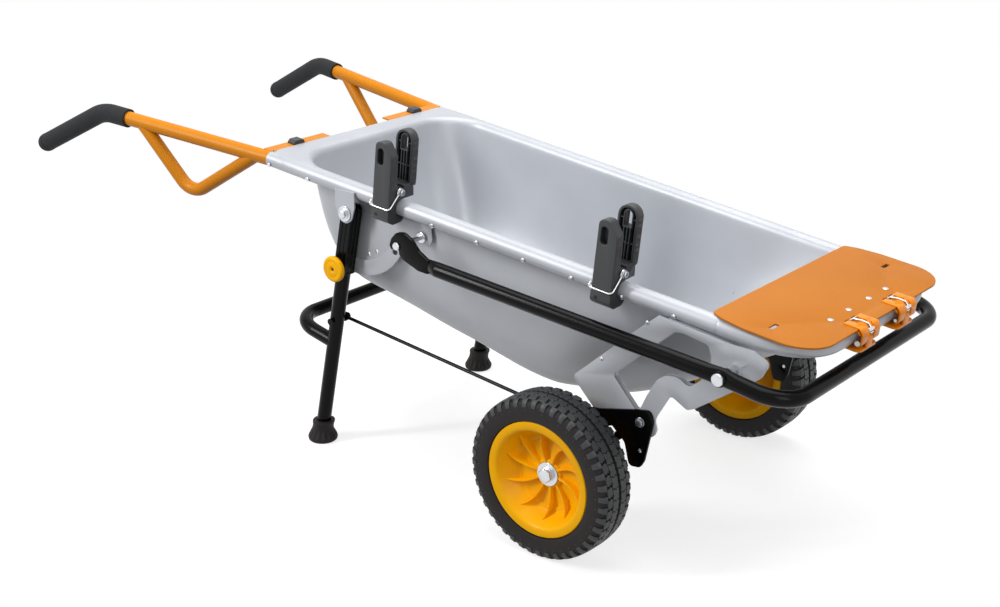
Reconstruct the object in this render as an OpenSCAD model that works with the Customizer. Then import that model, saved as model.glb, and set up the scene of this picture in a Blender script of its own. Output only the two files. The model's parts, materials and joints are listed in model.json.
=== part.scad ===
// Convertible two-wheel barrow: a pressed steel tub on a bent tube rim, with folding legs,
// swinging wheel carriers, a hinged toe plate, flip-over extension arms and two tool clips.
// The nose points along +X, left is +Y, up is +Z, and the barrow stands on the plane z = 0.
// Inside the modules x is measured from the wheel axle; centre_length() moves the whole
// barrow so that the origin lies under the middle of its length.

/* [Tub] */
// Height of the rim tube's axis above the ground, over the axle
rim_height = 412.9; // [400:1:430]
// Slope of the rim, down towards the nose
rim_tilt = 6.48; // [5:0.1:8]
// Distance from the axle back to the rear end of the rim tubes, along the rim
rim_rear = 640; // [600:5:660]
// Distance from the axle forward to the axis of the nose tube, along the rim
rim_front = 362; // [355:1:370]
// Half of the width between the rim tubes' axes at the rear
rim_rear_half = 212.8; // [208:0.5:215]
// Half of the width between the rim tubes' axes at the nose
rim_front_half = 185.4; // [183:0.5:187]
// Thickness of the tub's sheet
sheet = 1.5; // [1:0.1:1.8]
// Depth of the tub below the rim at the rear bend
rear_depth = 200; // [190:1:202]
// Depth of the tub below the rim at its lowest bend
low_depth = 249; // [238:1:250]
// Distance from the axle back to the tub's lowest bend, along the rim
low_back = 62; // [50:1:75]
// Distance from the axle back to the tub's rear bottom bend, along the rim
rear_back = 442; // [430:1:450]
// Radius of the tub's rear bottom bend
rear_bend = 90; // [80:1:95]
// Radius of the tub's lowest bend
low_bend = 60; // [50:1:65]
// Half of the tub's width at the bottom
floor_half = 150; // [140:1:155]
// Radius of the tub's rear corners in plan
corner_bend = 60; // [50:1:70]
// Width of the flange behind the tub's rear wall
rear_flange = 37; // [30:1:45]

/* [Tubes] */
// Diameter of the rim tubes and the nose tube
rim_tube = 25; // [24:0.5:26]
// Radius of the nose tube's two bends, on the axis
nose_bend = 75; // [70:1:80]
// Distance from the axle forward to the joint of rim tube and nose tube, along the rim
nose_joint = 229; // [220:1:240]
// Wall of every tube
wall = 1.5; // [1:0.1:2]
// Length of every sleeve that slips into a tube
spigot = 40; // [30:1:50]
// Distance between the rim rivets
rivet_pitch = 88; // [80:1:95]
// Diameter of the rivet heads
rivet_head = 8; // [6:0.5:9]

/* [Handles] */
// Diameter of the handle tubes
handle_tube = 25; // [24:0.5:26]
// Outward angle of the handles in plan
handle_splay = 8.25; // [7:0.25:9]
// Length of the handle from the rim tube to its elbow, in its own plane
elbow_run = 372; // [360:1:385]
// Rise of the elbow above the rim tube's end
elbow_rise = 35.7; // [30:0.5:40]
// Length of the handle from the rim tube to the centre of the grip's round end
grip_run = 520.4; // [510:1:530]
// Drop of the grip's end below the rim tube's end
grip_drop = 39; // [35:1:45]
// Radius of the elbow, on the axis
elbow_bend = 75; // [70:1:85]
// Distance from the rim tube to the front edge of the grip
grip_start = 314; // [305:1:320]
// Diameter of the foam grips
grip_size = 33; // [31:0.5:35]
// Diameter of the handle braces
brace_tube = 23; // [20:0.5:24]
// Distance from the rim tube to the front foot of the brace
brace_front = 30; // [25:1:40]
// Distance from the rim tube to the rear foot of the brace
brace_rear = 284; // [275:1:290]
// Distance from the rim tube to the lowest corner of the brace
brace_low = 178; // [165:1:190]
// Drop of the brace's corner below the rim tube's end
brace_drop = 88; // [80:1:95]
// Radius of the brace's bend, on the axis
brace_bend = 38; // [35:1:45]
// Reach of the rear bracket from the middle of the barrow
bracket_inner = 75; // [70:1:85]
// Width of the rear bracket
bracket_width = 21; // [18:0.5:24]

/* [Legs] */
// Distance from the axle back to the leg pivot
leg_pivot_back = 456; // [450:1:460]
// Height of the leg pivot
leg_pivot_height = 427; // [425:0.5:428]
// Backward lean of the legs
leg_lean = 12.07; // [11:0.1:13]
// Distance of the leg's axis outside the rim tube's axis, at the leg pivot
leg_out = 1.83; // [1.4:0.01:2.3]
// Diameter of the leg tube
leg_tube = 24; // [23:0.5:24]
// Angle that the legs fold through
leg_fold = 67.5; // [60:0.1:68]
// Distance from the leg pivot to the lock pin
lock_radius = 98; // [95:0.5:100]
// Diameter of the lock pin
lock_pin = 5; // [4:0.25:6]
// Play of the lock pin in its two holes
lock_play = 8; // [7:0.25:8.5]
// Diameter of the lock knob
knob_size = 44; // [40:1:46]
// Length of the square sleeve on each leg, below the pivot
sleeve_drop = 112; // [108:1:118]
// Diameter of the rubber foot on the ground
foot_size = 51; // [48:1:54]
// Height of the rubber foot
foot_height = 40; // [36:1:44]
// Distance from the leg pivot down the leg to the leg brace
leg_brace_drop = 243; // [238:1:250]
// Reach of the leg brace behind the legs
leg_brace_reach = 97; // [90:1:100]
// Radius of the leg brace's bends, on the axis
leg_brace_bend = 50; // [45:1:60]
// Distance from the leg pivot down the leg to the stay rod's bolt
stay_drop = 200; // [195:1:205]
// Outer radius of the quadrant plate's band
quadrant_radius = 110; // [108:1:114]
// Inner radius of the quadrant plate's band
band_inner = 84; // [82:1:86]

/* [Wheels] */
// Diameter of the tyre
tyre_size = 254; // [250:1:256]
// Width of the tyre
tyre_width = 69.3; // [66:0.5:70]
// Diameter of the rim's outer lip
rim_lip = 180.4; // [176:0.5:184]
// Distance of each wheel's middle plane outside the chassis plate
wheel_out = 69.65; // [69:0.05:72]
// Diameter of the wheel's axle
axle_size = 16; // [14:0.5:18]
// Diameter of the wheel's hub
hub_size = 44; // [40:1:48]
// Number of ribs in the wheel
rib_count = 10; // [6:1:12]
// Radial running clearance of every pivot
running = 0.06; // [0.03:0.01:0.1]

/* [Wheel carriers] */
// Distance from the axle forward to the carrier's pivot
carrier_forward = 113; // [110:1:116]
// Height of the carrier's pivot
carrier_height = 218; // [215:1:221]
// Angle that the wheel carriers swing through
carrier_swing = 116; // [100:1:116]
// Height of the stay rod's pin on the carrier
stay_pin_height = 174.5; // [172:0.5:177]
// Distance from the carrier's pivot down to its stop bolt
stop_drop = 47; // [44:0.5:50]
// Thickness of the carrier plate
carrier_plate = 4; // [3:0.5:4.5]
// Diameter of the stay rods
stay_rod = 6; // [5:0.5:6]
// Distance of the stay rods from the middle of the barrow
stay_half = 190; // [189:0.5:190]
// Diameter of the pivot bolts' shanks
bolt_size = 10; // [8:0.5:10]

/* [Chassis] */
// Distance of the chassis plates' outer faces from the middle of the barrow
chassis_half = 206; // [205:0.5:207]
// Thickness of the chassis and quadrant plates
plate = 2.5; // [2:0.1:2.6]
// Depth of the turned-in edges of the chassis plates
edge_turn = 9; // [6:0.5:10]

/* [Arm frame] */
// Diameter of the arm frame's tube
arm_tube = 24; // [23:0.5:25]
// Distance from the axle forward to the arm pivot
arm_pivot_forward = 260; // [256:1:262]
// Height of the arm pivot
arm_pivot_height = 335; // [333:1:338]
// Distance of the arms' axes outside the chassis plates, at the pivots
arm_out = 29; // [28:0.5:30]
// Slope of the arms, down towards the nose
arm_tilt = 5.68; // [5.5:0.02:6]
// Extra slope of the arm frame's front loop
arm_dip = 4.1; // [2:0.1:5]
// Distance from the axle forward to the arm frame's front bar
arm_front = 359; // [355:1:362]
// Radius of the arm frame's bends, on the axis
arm_bend = 92; // [85:1:96]
// Length of the hooks, from the end of the arms' tube to the pegs
hook_reach = 82; // [70:1:90]
// Distance from the arm pivots back to the pegs that the arms rest on, along the arm
peg_reach = 582; // [576:1:590]
// Height of the pegs above the arms' axes
peg_lift = 15; // [13:0.5:17]
// Diameter of the pegs
peg_size = 8; // [7:0.5:9]

/* [Toe plate] */
// Thickness of the toe plate
toe_sheet = 2.5; // [2:0.1:3]
// Distance from the axle forward to the toe plate's rear edge, along the rim
toe_rear = 212; // [200:1:225]
// Half of the toe plate's width
toe_half = 205; // [203:0.5:207]
// Distance that the toe plate reaches past the nose tube's axis
toe_overhang = 17; // [16:0.5:18]
// Radius of the toe plate's front corners
toe_corner = 66; // [60:1:72]
// Distance of the toe hinges from the middle of the barrow
hinge_half = 57; // [50:1:65]
// Length of each toe hinge
hinge_length = 54; // [48:1:60]
// Diameter of the toe hinges' pins
hinge_pin = 5; // [4:0.5:6]
// Diameter of the toe hinges' barrels
hinge_barrel = 11; // [10:0.5:11.5]

/* [Tool clips] */
// Distance from the axle back to the rear tool clip, along the rim
rear_clip_back = 386; // [379:1:394]
// Distance from the axle forward to the front tool clip, along the rim
front_clip_forward = 32; // [22:1:42]
// Width of each tool clip along the rim
clip_width = 34; // [30:1:36]
// Height of the outer jaw above the rim tube's axis
outer_jaw_top = 108; // [100:1:112]
// Height of the inner jaw above the rim tube's axis
inner_jaw_top = 119; // [112:1:124]
// Diameter of the tool handle that the clips hold
tool_size = 32; // [30:0.5:34]
// Height of the held tool's axis above the rim tube's axis
tool_height = 60; // [56:1:64]
// Diameter of the clip's spring wire
clip_wire = 2.5; // [2:0.1:3]

/* [Hidden] */
$fn = 48;

silver = [0.68, 0.69, 0.71];
orange = [0.95, 0.55, 0.05];
black = [0.10, 0.10, 0.11];
dark = [0.20, 0.20, 0.22];
zinc = [0.78, 0.79, 0.80];

seam = 0.3;                // gap between bodies that move past each other
eps = 0.01;
roll = rim_tube + 2*sheet; // diameter of the sheet rolled over the rim tube
// Where the length is measured: grip ends at the rear, toe hinge barrels at the nose.
handle_foot = [-rim_rear*cos(rim_tilt), rim_rear_half, rim_height + rim_rear*sin(rim_tilt)];
rear_end = handle_foot.x - grip_run*cos(handle_splay) - grip_size/2 - 0.3;
hinge_x = rim_front + roll/2 + seam + hinge_barrel/2 + 1;
hinge_z = -2;
hinge_point = [hinge_x*cos(rim_tilt) + hinge_z*sin(rim_tilt),
               rim_height - hinge_x*sin(rim_tilt) + hinge_z*cos(rim_tilt)];
front_end = hinge_point.x + hinge_barrel/2;
middle = (front_end + rear_end)/2;

leg_pivot = [-leg_pivot_back, leg_pivot_height];
leg_length = (leg_pivot_height - foot_height/2)/cos(leg_lean);
foot_point = [leg_pivot.x - tan(leg_lean)*(leg_pivot_height - foot_height/2), foot_height/2];
leg_half = rim_half(-leg_pivot_back) + leg_out;
leg_inner = leg_half - leg_tube/2 - 0.5;
leg_outer = leg_half + leg_tube/2 + 0.5;
quadrant_out = leg_inner - seam;
hanger_in = leg_outer + seam;
carrier_pivot = [carrier_forward, carrier_height];
function spin(v, a) = [v.x*cos(a) - v.y*sin(a), v.x*sin(a) + v.y*cos(a)];
stay_point = along_leg(stay_drop);
stay_folded = leg_pivot + spin(stay_point - leg_pivot, leg_fold);
// The pin lies as far from the leg's bolt with the legs folded as with them down.
stay_image = carrier_pivot + spin(stay_folded - carrier_pivot, -carrier_swing);
stay_pin = [(stay_point.x + stay_image.x)/2
            - (stay_pin_height - (stay_point.y + stay_image.y)/2)
              *(stay_image.y - stay_point.y)/(stay_image.x - stay_point.x), stay_pin_height];
carrier_in = chassis_half + seam;
arm_pivot = [arm_pivot_forward, arm_pivot_height];
arm_half = chassis_half + arm_out;
arm_tail = peg_reach - hook_reach;
wheel_radius = tyre_size/2;
track = 2*(chassis_half + wheel_out);
tyre_inner = track/2 - tyre_width/2;

function unit(v) = v/norm(v);
function turn(a, b, c) =
    let(u = unit(b - a), v = unit(c - b)) atan2(u.x*v.y - u.y*v.x, u.x*v.x + u.y*v.y);
function rim_half(x) =
    rim_rear_half + (rim_front_half - rim_rear_half)*(x + rim_rear)/(rim_front + rim_rear);
function along_leg(d) = leg_pivot + d*[-sin(leg_lean), -cos(leg_lean)];
rim_taper = atan((rim_rear_half - rim_front_half)/(rim_front + rim_rear));

module centre_length() translate([-middle, 0, 0]) children();
// A part modelled on the left (+Y); side -1 makes the right one.
module sided(side) mirror([0, side < 0 ? 1 : 0, 0]) children();
// The rim's own frame: x along the rim from above the axle, z square to it.
module on_rim() translate([0, 0, rim_height]) rotate([0, rim_tilt, 0]) children();
// Turns a drawing in x and y into one in x and z that is extruded towards -Y from y = 0.
module upright() rotate([90, 0, 0]) children();
// An upright sheet between y = inner and y = outer.
module sheet_between(inner, outer) translate([0, outer, 0]) upright() linear_extrude(outer - inner) children();
// A round bar along Y between y = inner and y = outer, at a point [x, z].
module bar(point, d, inner, outer)
    translate([point.x, inner, point.y]) rotate([-90, 0, 0]) cylinder(d = d, h = outer - inner);

// Sweeps a round section along a plane path with round bends. The straights are a hair
// slimmer than the bends and run a little way into them.
slim = 0.04;
lap = 0.6;
module sweep(path, bend, extra = 0) {
    last = len(path) - 1;
    for (i = [0 : last - 1]) {
        a = path[i];
        b = path[i + 1];
        cut_a = i == 0 ? -extra : bend*tan(abs(turn(path[i - 1], a, b))/2) - lap;
        cut_b = i == last - 1 ? -extra : bend*tan(abs(turn(a, b, path[i + 2]))/2) - lap;
        translate([a.x, a.y, 0]) rotate([0, 0, atan2(b.y - a.y, b.x - a.x)])
            translate([cut_a, 0, 0]) rotate([90, 0, 90]) linear_extrude(norm(b - a) - cut_a - cut_b) {
                $slim = last > 1 ? slim : 0;
                children();
            }
    }
    if (last > 1) for (i = [1 : last - 1]) {
        t = turn(path[i - 1], path[i], path[i + 1]);
        u = unit(path[i] - path[i - 1]);
        start = path[i] - u*bend*tan(abs(t)/2);
        centre = start + bend*sign(t)*[-u.y, u.x];
        from = atan2(start.y - centre.y, start.x - centre.x);
        translate([centre.x, centre.y, 0]) rotate([0, 0, from + min(t, 0)])
            rotate_extrude(angle = abs(t)) translate([bend, 0]) {
                $slim = 0;
                children();
            }
    }
}
module rod(path, bend, d, extra = 0) sweep(path, bend, extra) circle(r = d/2 - $slim);
module tube(path, bend, d) sweep(path, bend) difference() {
    circle(r = d/2 - $slim);
    circle(r = d/2 - wall + $slim);
}

// ---- tub ----
floor_slope = (low_depth - rear_depth)/(rear_back - low_back);
module tub_body(inset, top) hull() {
    front_half = rim_half(rim_front - rim_tube/2) - rim_tube/2;
    rear_x = -rim_rear + 3 + rear_flange;
    rear_half = rim_half(rear_x + corner_bend) - rim_tube/2;
    front_bend = nose_bend - rim_tube/2;
    for (s = [-1, 1]) {
        translate([rear_x + corner_bend, s*(rear_half - corner_bend), 0])
            cylinder(r = corner_bend - inset, h = top);
        translate([rim_front - rim_tube/2 - front_bend, s*(front_half - front_bend), 0])
            cylinder(r = front_bend - inset, h = top);
        translate([-rear_back, s*(floor_half - rear_bend), rear_bend - rear_depth])
            sphere(r = rear_bend - inset, $fn = 40);
        translate([-low_back - 13, s*(floor_half - low_bend), low_bend - low_depth])
            sphere(r = low_bend - inset, $fn = 32);
    }
}
// Section of the sheet where it is rolled over a rim tube: from the inner side over the top
// and down the outer side. x points outwards.
module roll_section() difference() {
    circle(d = roll);
    circle(d = rim_tube);
    polygon([[0, 0], [-roll, 0], [-roll, -roll], [roll*cos(52), -roll*sin(52)*1.2]]);
}
module rolled_edge() {
    corner = [rim_front, rim_front_half];
    rear = [-rim_rear, rim_rear_half];
    t = 90 - atan2(rear.y - corner.y, corner.x - rear.x);
    cut = nose_bend*tan(t/2);
    u = unit(corner - rear);
    for (s = [-1, 1]) sided(s) {
        translate([rear.x, rear.y, 0]) rotate([0, 0, atan2(u.y, u.x)]) rotate([90, 0, 90])
            linear_extrude(norm(corner - rear) - cut) roll_section();
        translate([rim_front - nose_bend, rim_front_half - cut, 0])
            rotate_extrude(angle = t) translate([nose_bend, 0]) roll_section();
    }
    translate([rim_front, rim_front_half - cut, 0]) rotate([90, 0, 0])
        linear_extrude(2*(rim_front_half - cut)) roll_section();
}
module tub() color(silver) centre_length() on_rim() {
    rear_x = -rim_rear + 3;
    lip = rear_x + rear_flange + corner_bend;
    difference() {
        tub_body(0, roll/2);
        translate([0, 0, -eps]) tub_body(sheet, roll);
        translate([lip, -rim_rear_half, 0]) cube([rim_rear + rim_front, 2*rim_rear_half, roll]);
    }
    difference() {
        translate([0, 0, roll/2 - sheet]) linear_extrude(sheet)
            polygon([[rear_x, -rim_half(rear_x)], [lip, -rim_half(lip)], [lip, rim_half(lip)], [rear_x, rim_half(rear_x)]]);
        tub_body(sheet, roll);
    }
    rolled_edge();
}

// ---- rim ----
module side_tube(side) color(silver) centre_length() on_rim() sided(side)
    tube([[-rim_rear, rim_rear_half], [nose_joint - eps, rim_half(nose_joint)]], nose_bend, rim_tube);
module nose_tube() color(silver) centre_length() on_rim() {
    ends = [nose_joint, rim_half(nose_joint)];
    tube([[ends.x, -ends.y], [rim_front, -rim_front_half], [rim_front, rim_front_half], ends],
         nose_bend, rim_tube);
    // swaged ends that slip into the side tubes
    for (s = [-1, 1]) sided(s) {
        tail = [nose_joint - spigot, rim_half(nose_joint - spigot)];
        difference() {
            union() {
                rod([tail, ends], nose_bend, rim_tube - 2*wall - 2*running);
                rod([ends, ends + 3*unit(ends - tail)], nose_bend, rim_tube - wall);
            }
            rod([tail, ends], nose_bend, rim_tube - 5*wall, 4);
        }
    }
}
module rim_rivets() color(zinc) centre_length() on_rim() difference() {
    for (s = [-1, 1], x = [-rim_rear + 8 : rivet_pitch : nose_joint - 20])
        if (abs(x + leg_pivot_back) > hanger_width/2 + rivet_head
            && abs(x + rear_clip_back) > (clip_width + rivet_head)/2
            && abs(x - front_clip_forward) > (clip_width + rivet_head)/2)
            sided(s) translate([x, rim_half(x), 0]) rotate([-115, 0, 0]) translate([0, 0, roll/2 - 1]) intersection() {
                translate([0, 0, 2 - rivet_head*0.7]) sphere(r = rivet_head*0.86);
                cylinder(d = rivet_head, h = rivet_head);
            }
    for (s = [-1, 1]) sided(s)
        rod([[-rim_rear, rim_rear_half], [nose_joint, rim_half(nose_joint)]], nose_bend, roll, 1);
}

// ---- handles, in their own upright planes ----
grip_end = [-grip_run, -grip_drop];
elbow = [-elbow_run, elbow_rise];
handle_slope = elbow_rise/elbow_run;
module handle_plane(side) centre_length() sided(side)
    translate(handle_foot) rotate([0, 0, -handle_splay]) upright() children();
module handle(side) color(orange) difference() {
    handle_plane(side) tube([[12, -12*handle_slope], elbow, grip_end], elbow_bend, handle_tube);
    centre_length() on_rim() sided(side) translate([-rim_rear, rim_rear_half, 0]) rotate([0, 0, -rim_taper])
        translate([0, -rim_rear, -rim_rear]) cube(2*rim_rear);
}
module handle_brace(side) color(orange) handle_plane(side) difference() {
    front = [-brace_front, brace_front*handle_slope];
    rear = [-brace_rear, brace_rear*handle_slope];
    low = [-brace_low, -brace_drop];
    tube([front, low, rear], brace_bend, brace_tube);
    rod([[12, -12*handle_slope], elbow], elbow_bend, handle_tube, 1);
}
module grip(side) color(dark) handle_plane(side) {
    start = [-grip_start, grip_start*handle_slope];
    way = grip_end - elbow;
    sweep([start, elbow, grip_end], elbow_bend) difference() {
        circle(r = grip_size/2 - $slim);
        circle(r = handle_tube/2 + 0.01 + $slim);
    }
    cap = grip_size/2 + 0.3;
    bore = handle_tube/2 + 0.06;
    translate([grip_end.x, grip_end.y, 0]) rotate([0, 0, atan2(way.y, way.x)]) rotate([0, 90, 0]) rotate_extrude()
        polygon(concat([[bore, 0], [bore, -3], [cap, -3]], [for (a = [0 : 15 : 75]) cap*[cos(a), sin(a)]],
                       [[0, cap], [0, 0]]));
}
bracket_top = roll/2 - 1;
hanger_width = 42;
module rear_bracket(side) color(orange) centre_length() difference() {
    on_rim() sided(side) translate([-rim_rear + 3 - seam - bracket_width, bracket_inner, bracket_top - plate])
        cube([bracket_width, rim_rear_half - bracket_inner, plate]);
    translate([middle, 0, 0]) handle_plane(side) rod([[12, -12*handle_slope], elbow], elbow_bend, handle_tube, 1);
    on_rim() sided(side) rod([[-rim_rear, rim_rear_half], [nose_joint, rim_half(nose_joint)]], nose_bend, roll, 1);
}
clip_seat = [136, 25, 7];   // place, length and height of the plastic clip on the rear bracket
module bracket_clips() color(dark) centre_length() on_rim()
    for (s = [-1, 1]) sided(s)
        translate([-rim_rear + 3 - seam - bracket_width + 3, clip_seat[0], bracket_top]) difference() {
            cube([bracket_width - 6, clip_seat[1], clip_seat[2]]);
            for (y = [0, clip_seat[1]]) translate([-1, y, clip_seat[2]]) rotate([45, 0, 0])
                translate([0, -3, -3]) cube([bracket_width, 6, 6]);
        }

// ---- leg hangers and quadrants ----
module leg_hanger(side) color(silver) centre_length() difference() {
    sided(side) {
        sheet_between(hanger_in, hanger_in + plate) difference() {
            hull() {
                translate(leg_pivot) circle(r = 16);
                translate([leg_pivot.x - hanger_width/2, leg_pivot.y + 12]) square([hanger_width, 26]);
            }
            translate(leg_pivot) circle(d = bolt_size);
        }
        sheet_between(quadrant_out, hanger_in + eps)
            translate([leg_pivot.x - hanger_width/2, leg_pivot.y + 20]) square([3, 16]);
    }
    on_rim() sided(side) rod([[-rim_rear, rim_rear_half], [nose_joint, rim_half(nose_joint)]], nose_bend, roll, 1);
}
lock_start = leg_lean + 90;   // the lock pin lies on the leg's axis
function lock_point(fold) = leg_pivot + lock_radius*[cos(fold - lock_start), sin(fold - lock_start)];
module quadrant(side) color(silver) centre_length() difference() {
    sided(side) {
        // the cheek that the leg bolt holds
        sheet_between(quadrant_out - 2*plate, quadrant_out - plate) difference() {
            union() {
                intersection() {
                    translate(leg_pivot) circle(r = band_inner + 2);
                    polygon([leg_pivot + [-22, 10], leg_pivot + [-30, -200], leg_pivot + [200, -200], leg_pivot + [200, 10]]);
                }
                translate([leg_pivot.x - 22, leg_pivot.y - 10]) square([150, 30]);
            }
            translate(leg_pivot) circle(d = bolt_size);
        }
        // the band with the two lock holes, set out by one thickness
        sheet_between(quadrant_out - plate, quadrant_out) difference() {
            intersection() {
                translate(leg_pivot) circle(r = quadrant_radius);
                polygon([leg_pivot + [-42, 0], leg_pivot + [-42, -200], leg_pivot + [200, -200],
                         leg_pivot + [200, -26], leg_pivot + [60, -16]]);
            }
            translate(leg_pivot) circle(r = band_inner);
            for (fold = [0, leg_fold]) translate(lock_point(fold)) circle(d = lock_pin + lock_play);
        }
        // ear for the arm peg
        sheet_between(quadrant_out - 2*plate, quadrant_out - plate) hull() {
            translate(peg) circle(r = peg_size);
            translate([leg_pivot.x + 62, leg_pivot.y - 22]) square([20, 30]);
        }
        for (a = [-73, -58]) bar(leg_pivot + 75*[cos(a), sin(a)], rivet_head, quadrant_out - plate, quadrant_out - plate + 1.5);
    }
    on_rim() sided(side) rod([[-rim_rear, rim_rear_half], [nose_joint, rim_half(nose_joint)]], nose_bend, roll, 1);
    on_rim() tub_body(0, roll/2);
}
module leg_bolts() color(zinc) centre_length() for (s = [-1, 1]) sided(s) {
    bar(leg_pivot, bolt_size, quadrant_out - 2*plate - 1, hanger_in + plate + eps);
    bar(leg_pivot, 22, hanger_in + plate, hanger_in + plate + 2);
    bar(leg_pivot, 16, hanger_in + plate + 2, hanger_in + plate + 9);
}

// ---- legs ----
// The leg's own frame: origin at the pivot, z up the leg.
module leg_frame(side) centre_length() sided(side)
    translate([leg_pivot.x, leg_half, leg_pivot.y]) rotate([0, leg_lean, 0]) children();
sleeve = leg_tube + 1;
module leg(side) color(black) difference() {
    union() {
        leg_frame(side) {
            translate([0, 0, -leg_length]) cylinder(d = leg_tube, h = leg_length - sleeve_drop + 10);
            translate([-sleeve/2, -sleeve/2, -sleeve_drop]) cube([sleeve, sleeve, sleeve_drop]);
            rotate([90, 0, 0]) translate([0, 0, -sleeve/2]) cylinder(d = sleeve, h = sleeve);
        }
    }
    leg_frame(side) {
        translate([0, 0, -leg_length - 1]) cylinder(d = leg_tube - 2*wall, h = leg_length - sleeve_drop + 8);
        translate([wall + 0.5 - sleeve/2, wall + 0.5 - sleeve/2, 12 - sleeve_drop])
            cube([sleeve - 2*wall - 1, sleeve - 2*wall - 1, sleeve_drop - 30]);
        rotate([90, 0, 0]) translate([0, 0, -sleeve]) cylinder(d = bolt_size + 2*running, h = 2*sleeve);
        translate([0, 0, -lock_radius]) rotate([90, 0, 0])
            translate([0, 0, -sleeve]) cylinder(d = lock_pin + 2*running, h = 2*sleeve);
        translate([0, 0, -stay_drop]) rotate([90, 0, 0]) translate([0, 0, -sleeve]) cylinder(d = 6, h = 2*sleeve);
    }
    centre_length() translate([foot_point.x, 0, -1]) translate([-50, -300, -20]) cube([100, 600, 21 + 8]);
}
module leg_brace() color(black) difference() {
    centre_length() translate([leg_pivot.x, 0, leg_pivot.y]) rotate([0, leg_lean, 0])
        translate([0, 0, -leg_brace_drop])
            tube([[0, -leg_half], [-leg_brace_reach, -leg_half], [-leg_brace_reach, leg_half], [0, leg_half]],
                 leg_brace_bend, leg_tube);
    for (s = [-1, 1]) leg_frame(s) translate([0, 0, -leg_length]) cylinder(d = leg_tube, h = leg_length);
}
module foot(side) color(black) difference() {
    centre_length() sided(side) translate([foot_point.x, leg_half, 0]) difference() {
        union() {
            cylinder(d = foot_size, h = 5);
            translate([0, 0, 5]) cylinder(d1 = foot_size, d2 = leg_tube + 8, h = 17);
            translate([0, 0, 22]) cylinder(d = leg_tube + 9, h = foot_height - 22);
        }
        for (a = [0 : 30 : 359]) rotate([0, 0, a]) translate([foot_size/2 + 0.5, 0, 5])
            rotate([0, -28, 0]) cylinder(d = 5, h = 26);
    }
    leg_frame(side) translate([0, 0, -leg_length]) cylinder(d = leg_tube, h = leg_length);
}
module stay_bolts() color(black) centre_length() for (s = [-1, 1]) sided(s) {
    bar(stay_point, 6, stay_half - stay_rod/2 - 4, leg_half + leg_tube/2 + 1);
    bar(stay_point, 11, stay_half - stay_rod/2 - 4, stay_half - stay_rod/2 - seam);
    bar(stay_point, 9, stay_half + stay_rod/2 + seam, leg_half - leg_tube/2);
    bar(stay_point, 12, leg_half + leg_tube/2, leg_half + leg_tube/2 + 5);
}
module lock_knob(side) color(orange) centre_length() sided(side) {
    point = lock_point(0);
    base = leg_outer + 7;
    bar(point, lock_pin, quadrant_out + seam + 0.1, base + eps);
    difference() {
        union() {
            bar(point, knob_size - 4, base, base + 2);
            bar(point, knob_size, base + 2, base + 8);
            bar(point, knob_size - 6, base + 8, base + 10);
        }
        bar(point, 5, base + 4, base + 11);
        difference() {
            bar(point, knob_size - 12, base + 9, base + 11);
            bar(point, 14, base + 8, base + 12);
        }
    }
}

// ---- chassis plates ----
chassis_lobe = 24;
chassis_outline = [[-13, 256], [36, 213], [91, 206], carrier_pivot + [0, -chassis_lobe], carrier_pivot + [21, -11],
                   [158, 265], [186, 256], [200, 262], [303, 332], [311, 345], [310, 359], [250, 372], [135, 386], [38, 297]];
window_outline = [[101, 236], [61, 278], [162, 367], [221, 359], [226, 340], [205, 304], [188, 293],
                  [170, 300], [151, 299], [136, 284], [107, 240]];
module chassis_shape(grow) offset(r = 8 + grow, $fn = 24) offset(delta = -8, $fn = 24) polygon(chassis_outline);
module window_shape(grow) offset(r = 6 + grow, $fn = 24) offset(delta = -6, $fn = 24) polygon(window_outline);
module chassis(side) color(silver) centre_length() difference() {
    sided(side) {
        sheet_between(chassis_half - plate, chassis_half) difference() {
            chassis_shape(0);
            window_shape(0);
        }
        // turned-in edge round the window
        sheet_between(chassis_half - plate - edge_turn, chassis_half - plate) difference() {
            window_shape(plate);
            window_shape(0);
        }
        // web to the tub's side
        translate([38, 0, 297]) rotate([0, -42, 0]) translate([0, floor_half, -plate])
            cube([125, chassis_half - plate - floor_half, plate]);
        // saddle under the rim tube
        sheet_between(chassis_half - plate - 20, chassis_half - plate)
            polygon([[150, 372], [300, 354], [300, 362], [150, 386]]);
    }
    sided(side) bar(carrier_pivot, bolt_size, chassis_half - 2*plate - edge_turn, chassis_half + 1);
    sided(side) bar(arm_pivot, bolt_size, chassis_half - 2*plate - edge_turn, chassis_half + 1);
    on_rim() sided(side)
        rod([[-rim_rear, rim_rear_half], [rim_front, rim_front_half], [rim_front, 0]], nose_bend, roll, 1);
    on_rim() tub_body(0, roll/2);
}
module carrier_bolts() color(zinc) centre_length() for (s = [-1, 1]) sided(s) {
    bar(carrier_pivot, bolt_size, chassis_half - plate - 7, carrier_in + carrier_plate + seam);
    bar(carrier_pivot, 17, chassis_half - plate - 6, chassis_half - plate);
    bar(carrier_pivot, 16, carrier_in + carrier_plate + seam, carrier_in + carrier_plate + seam + 5);
}

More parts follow.
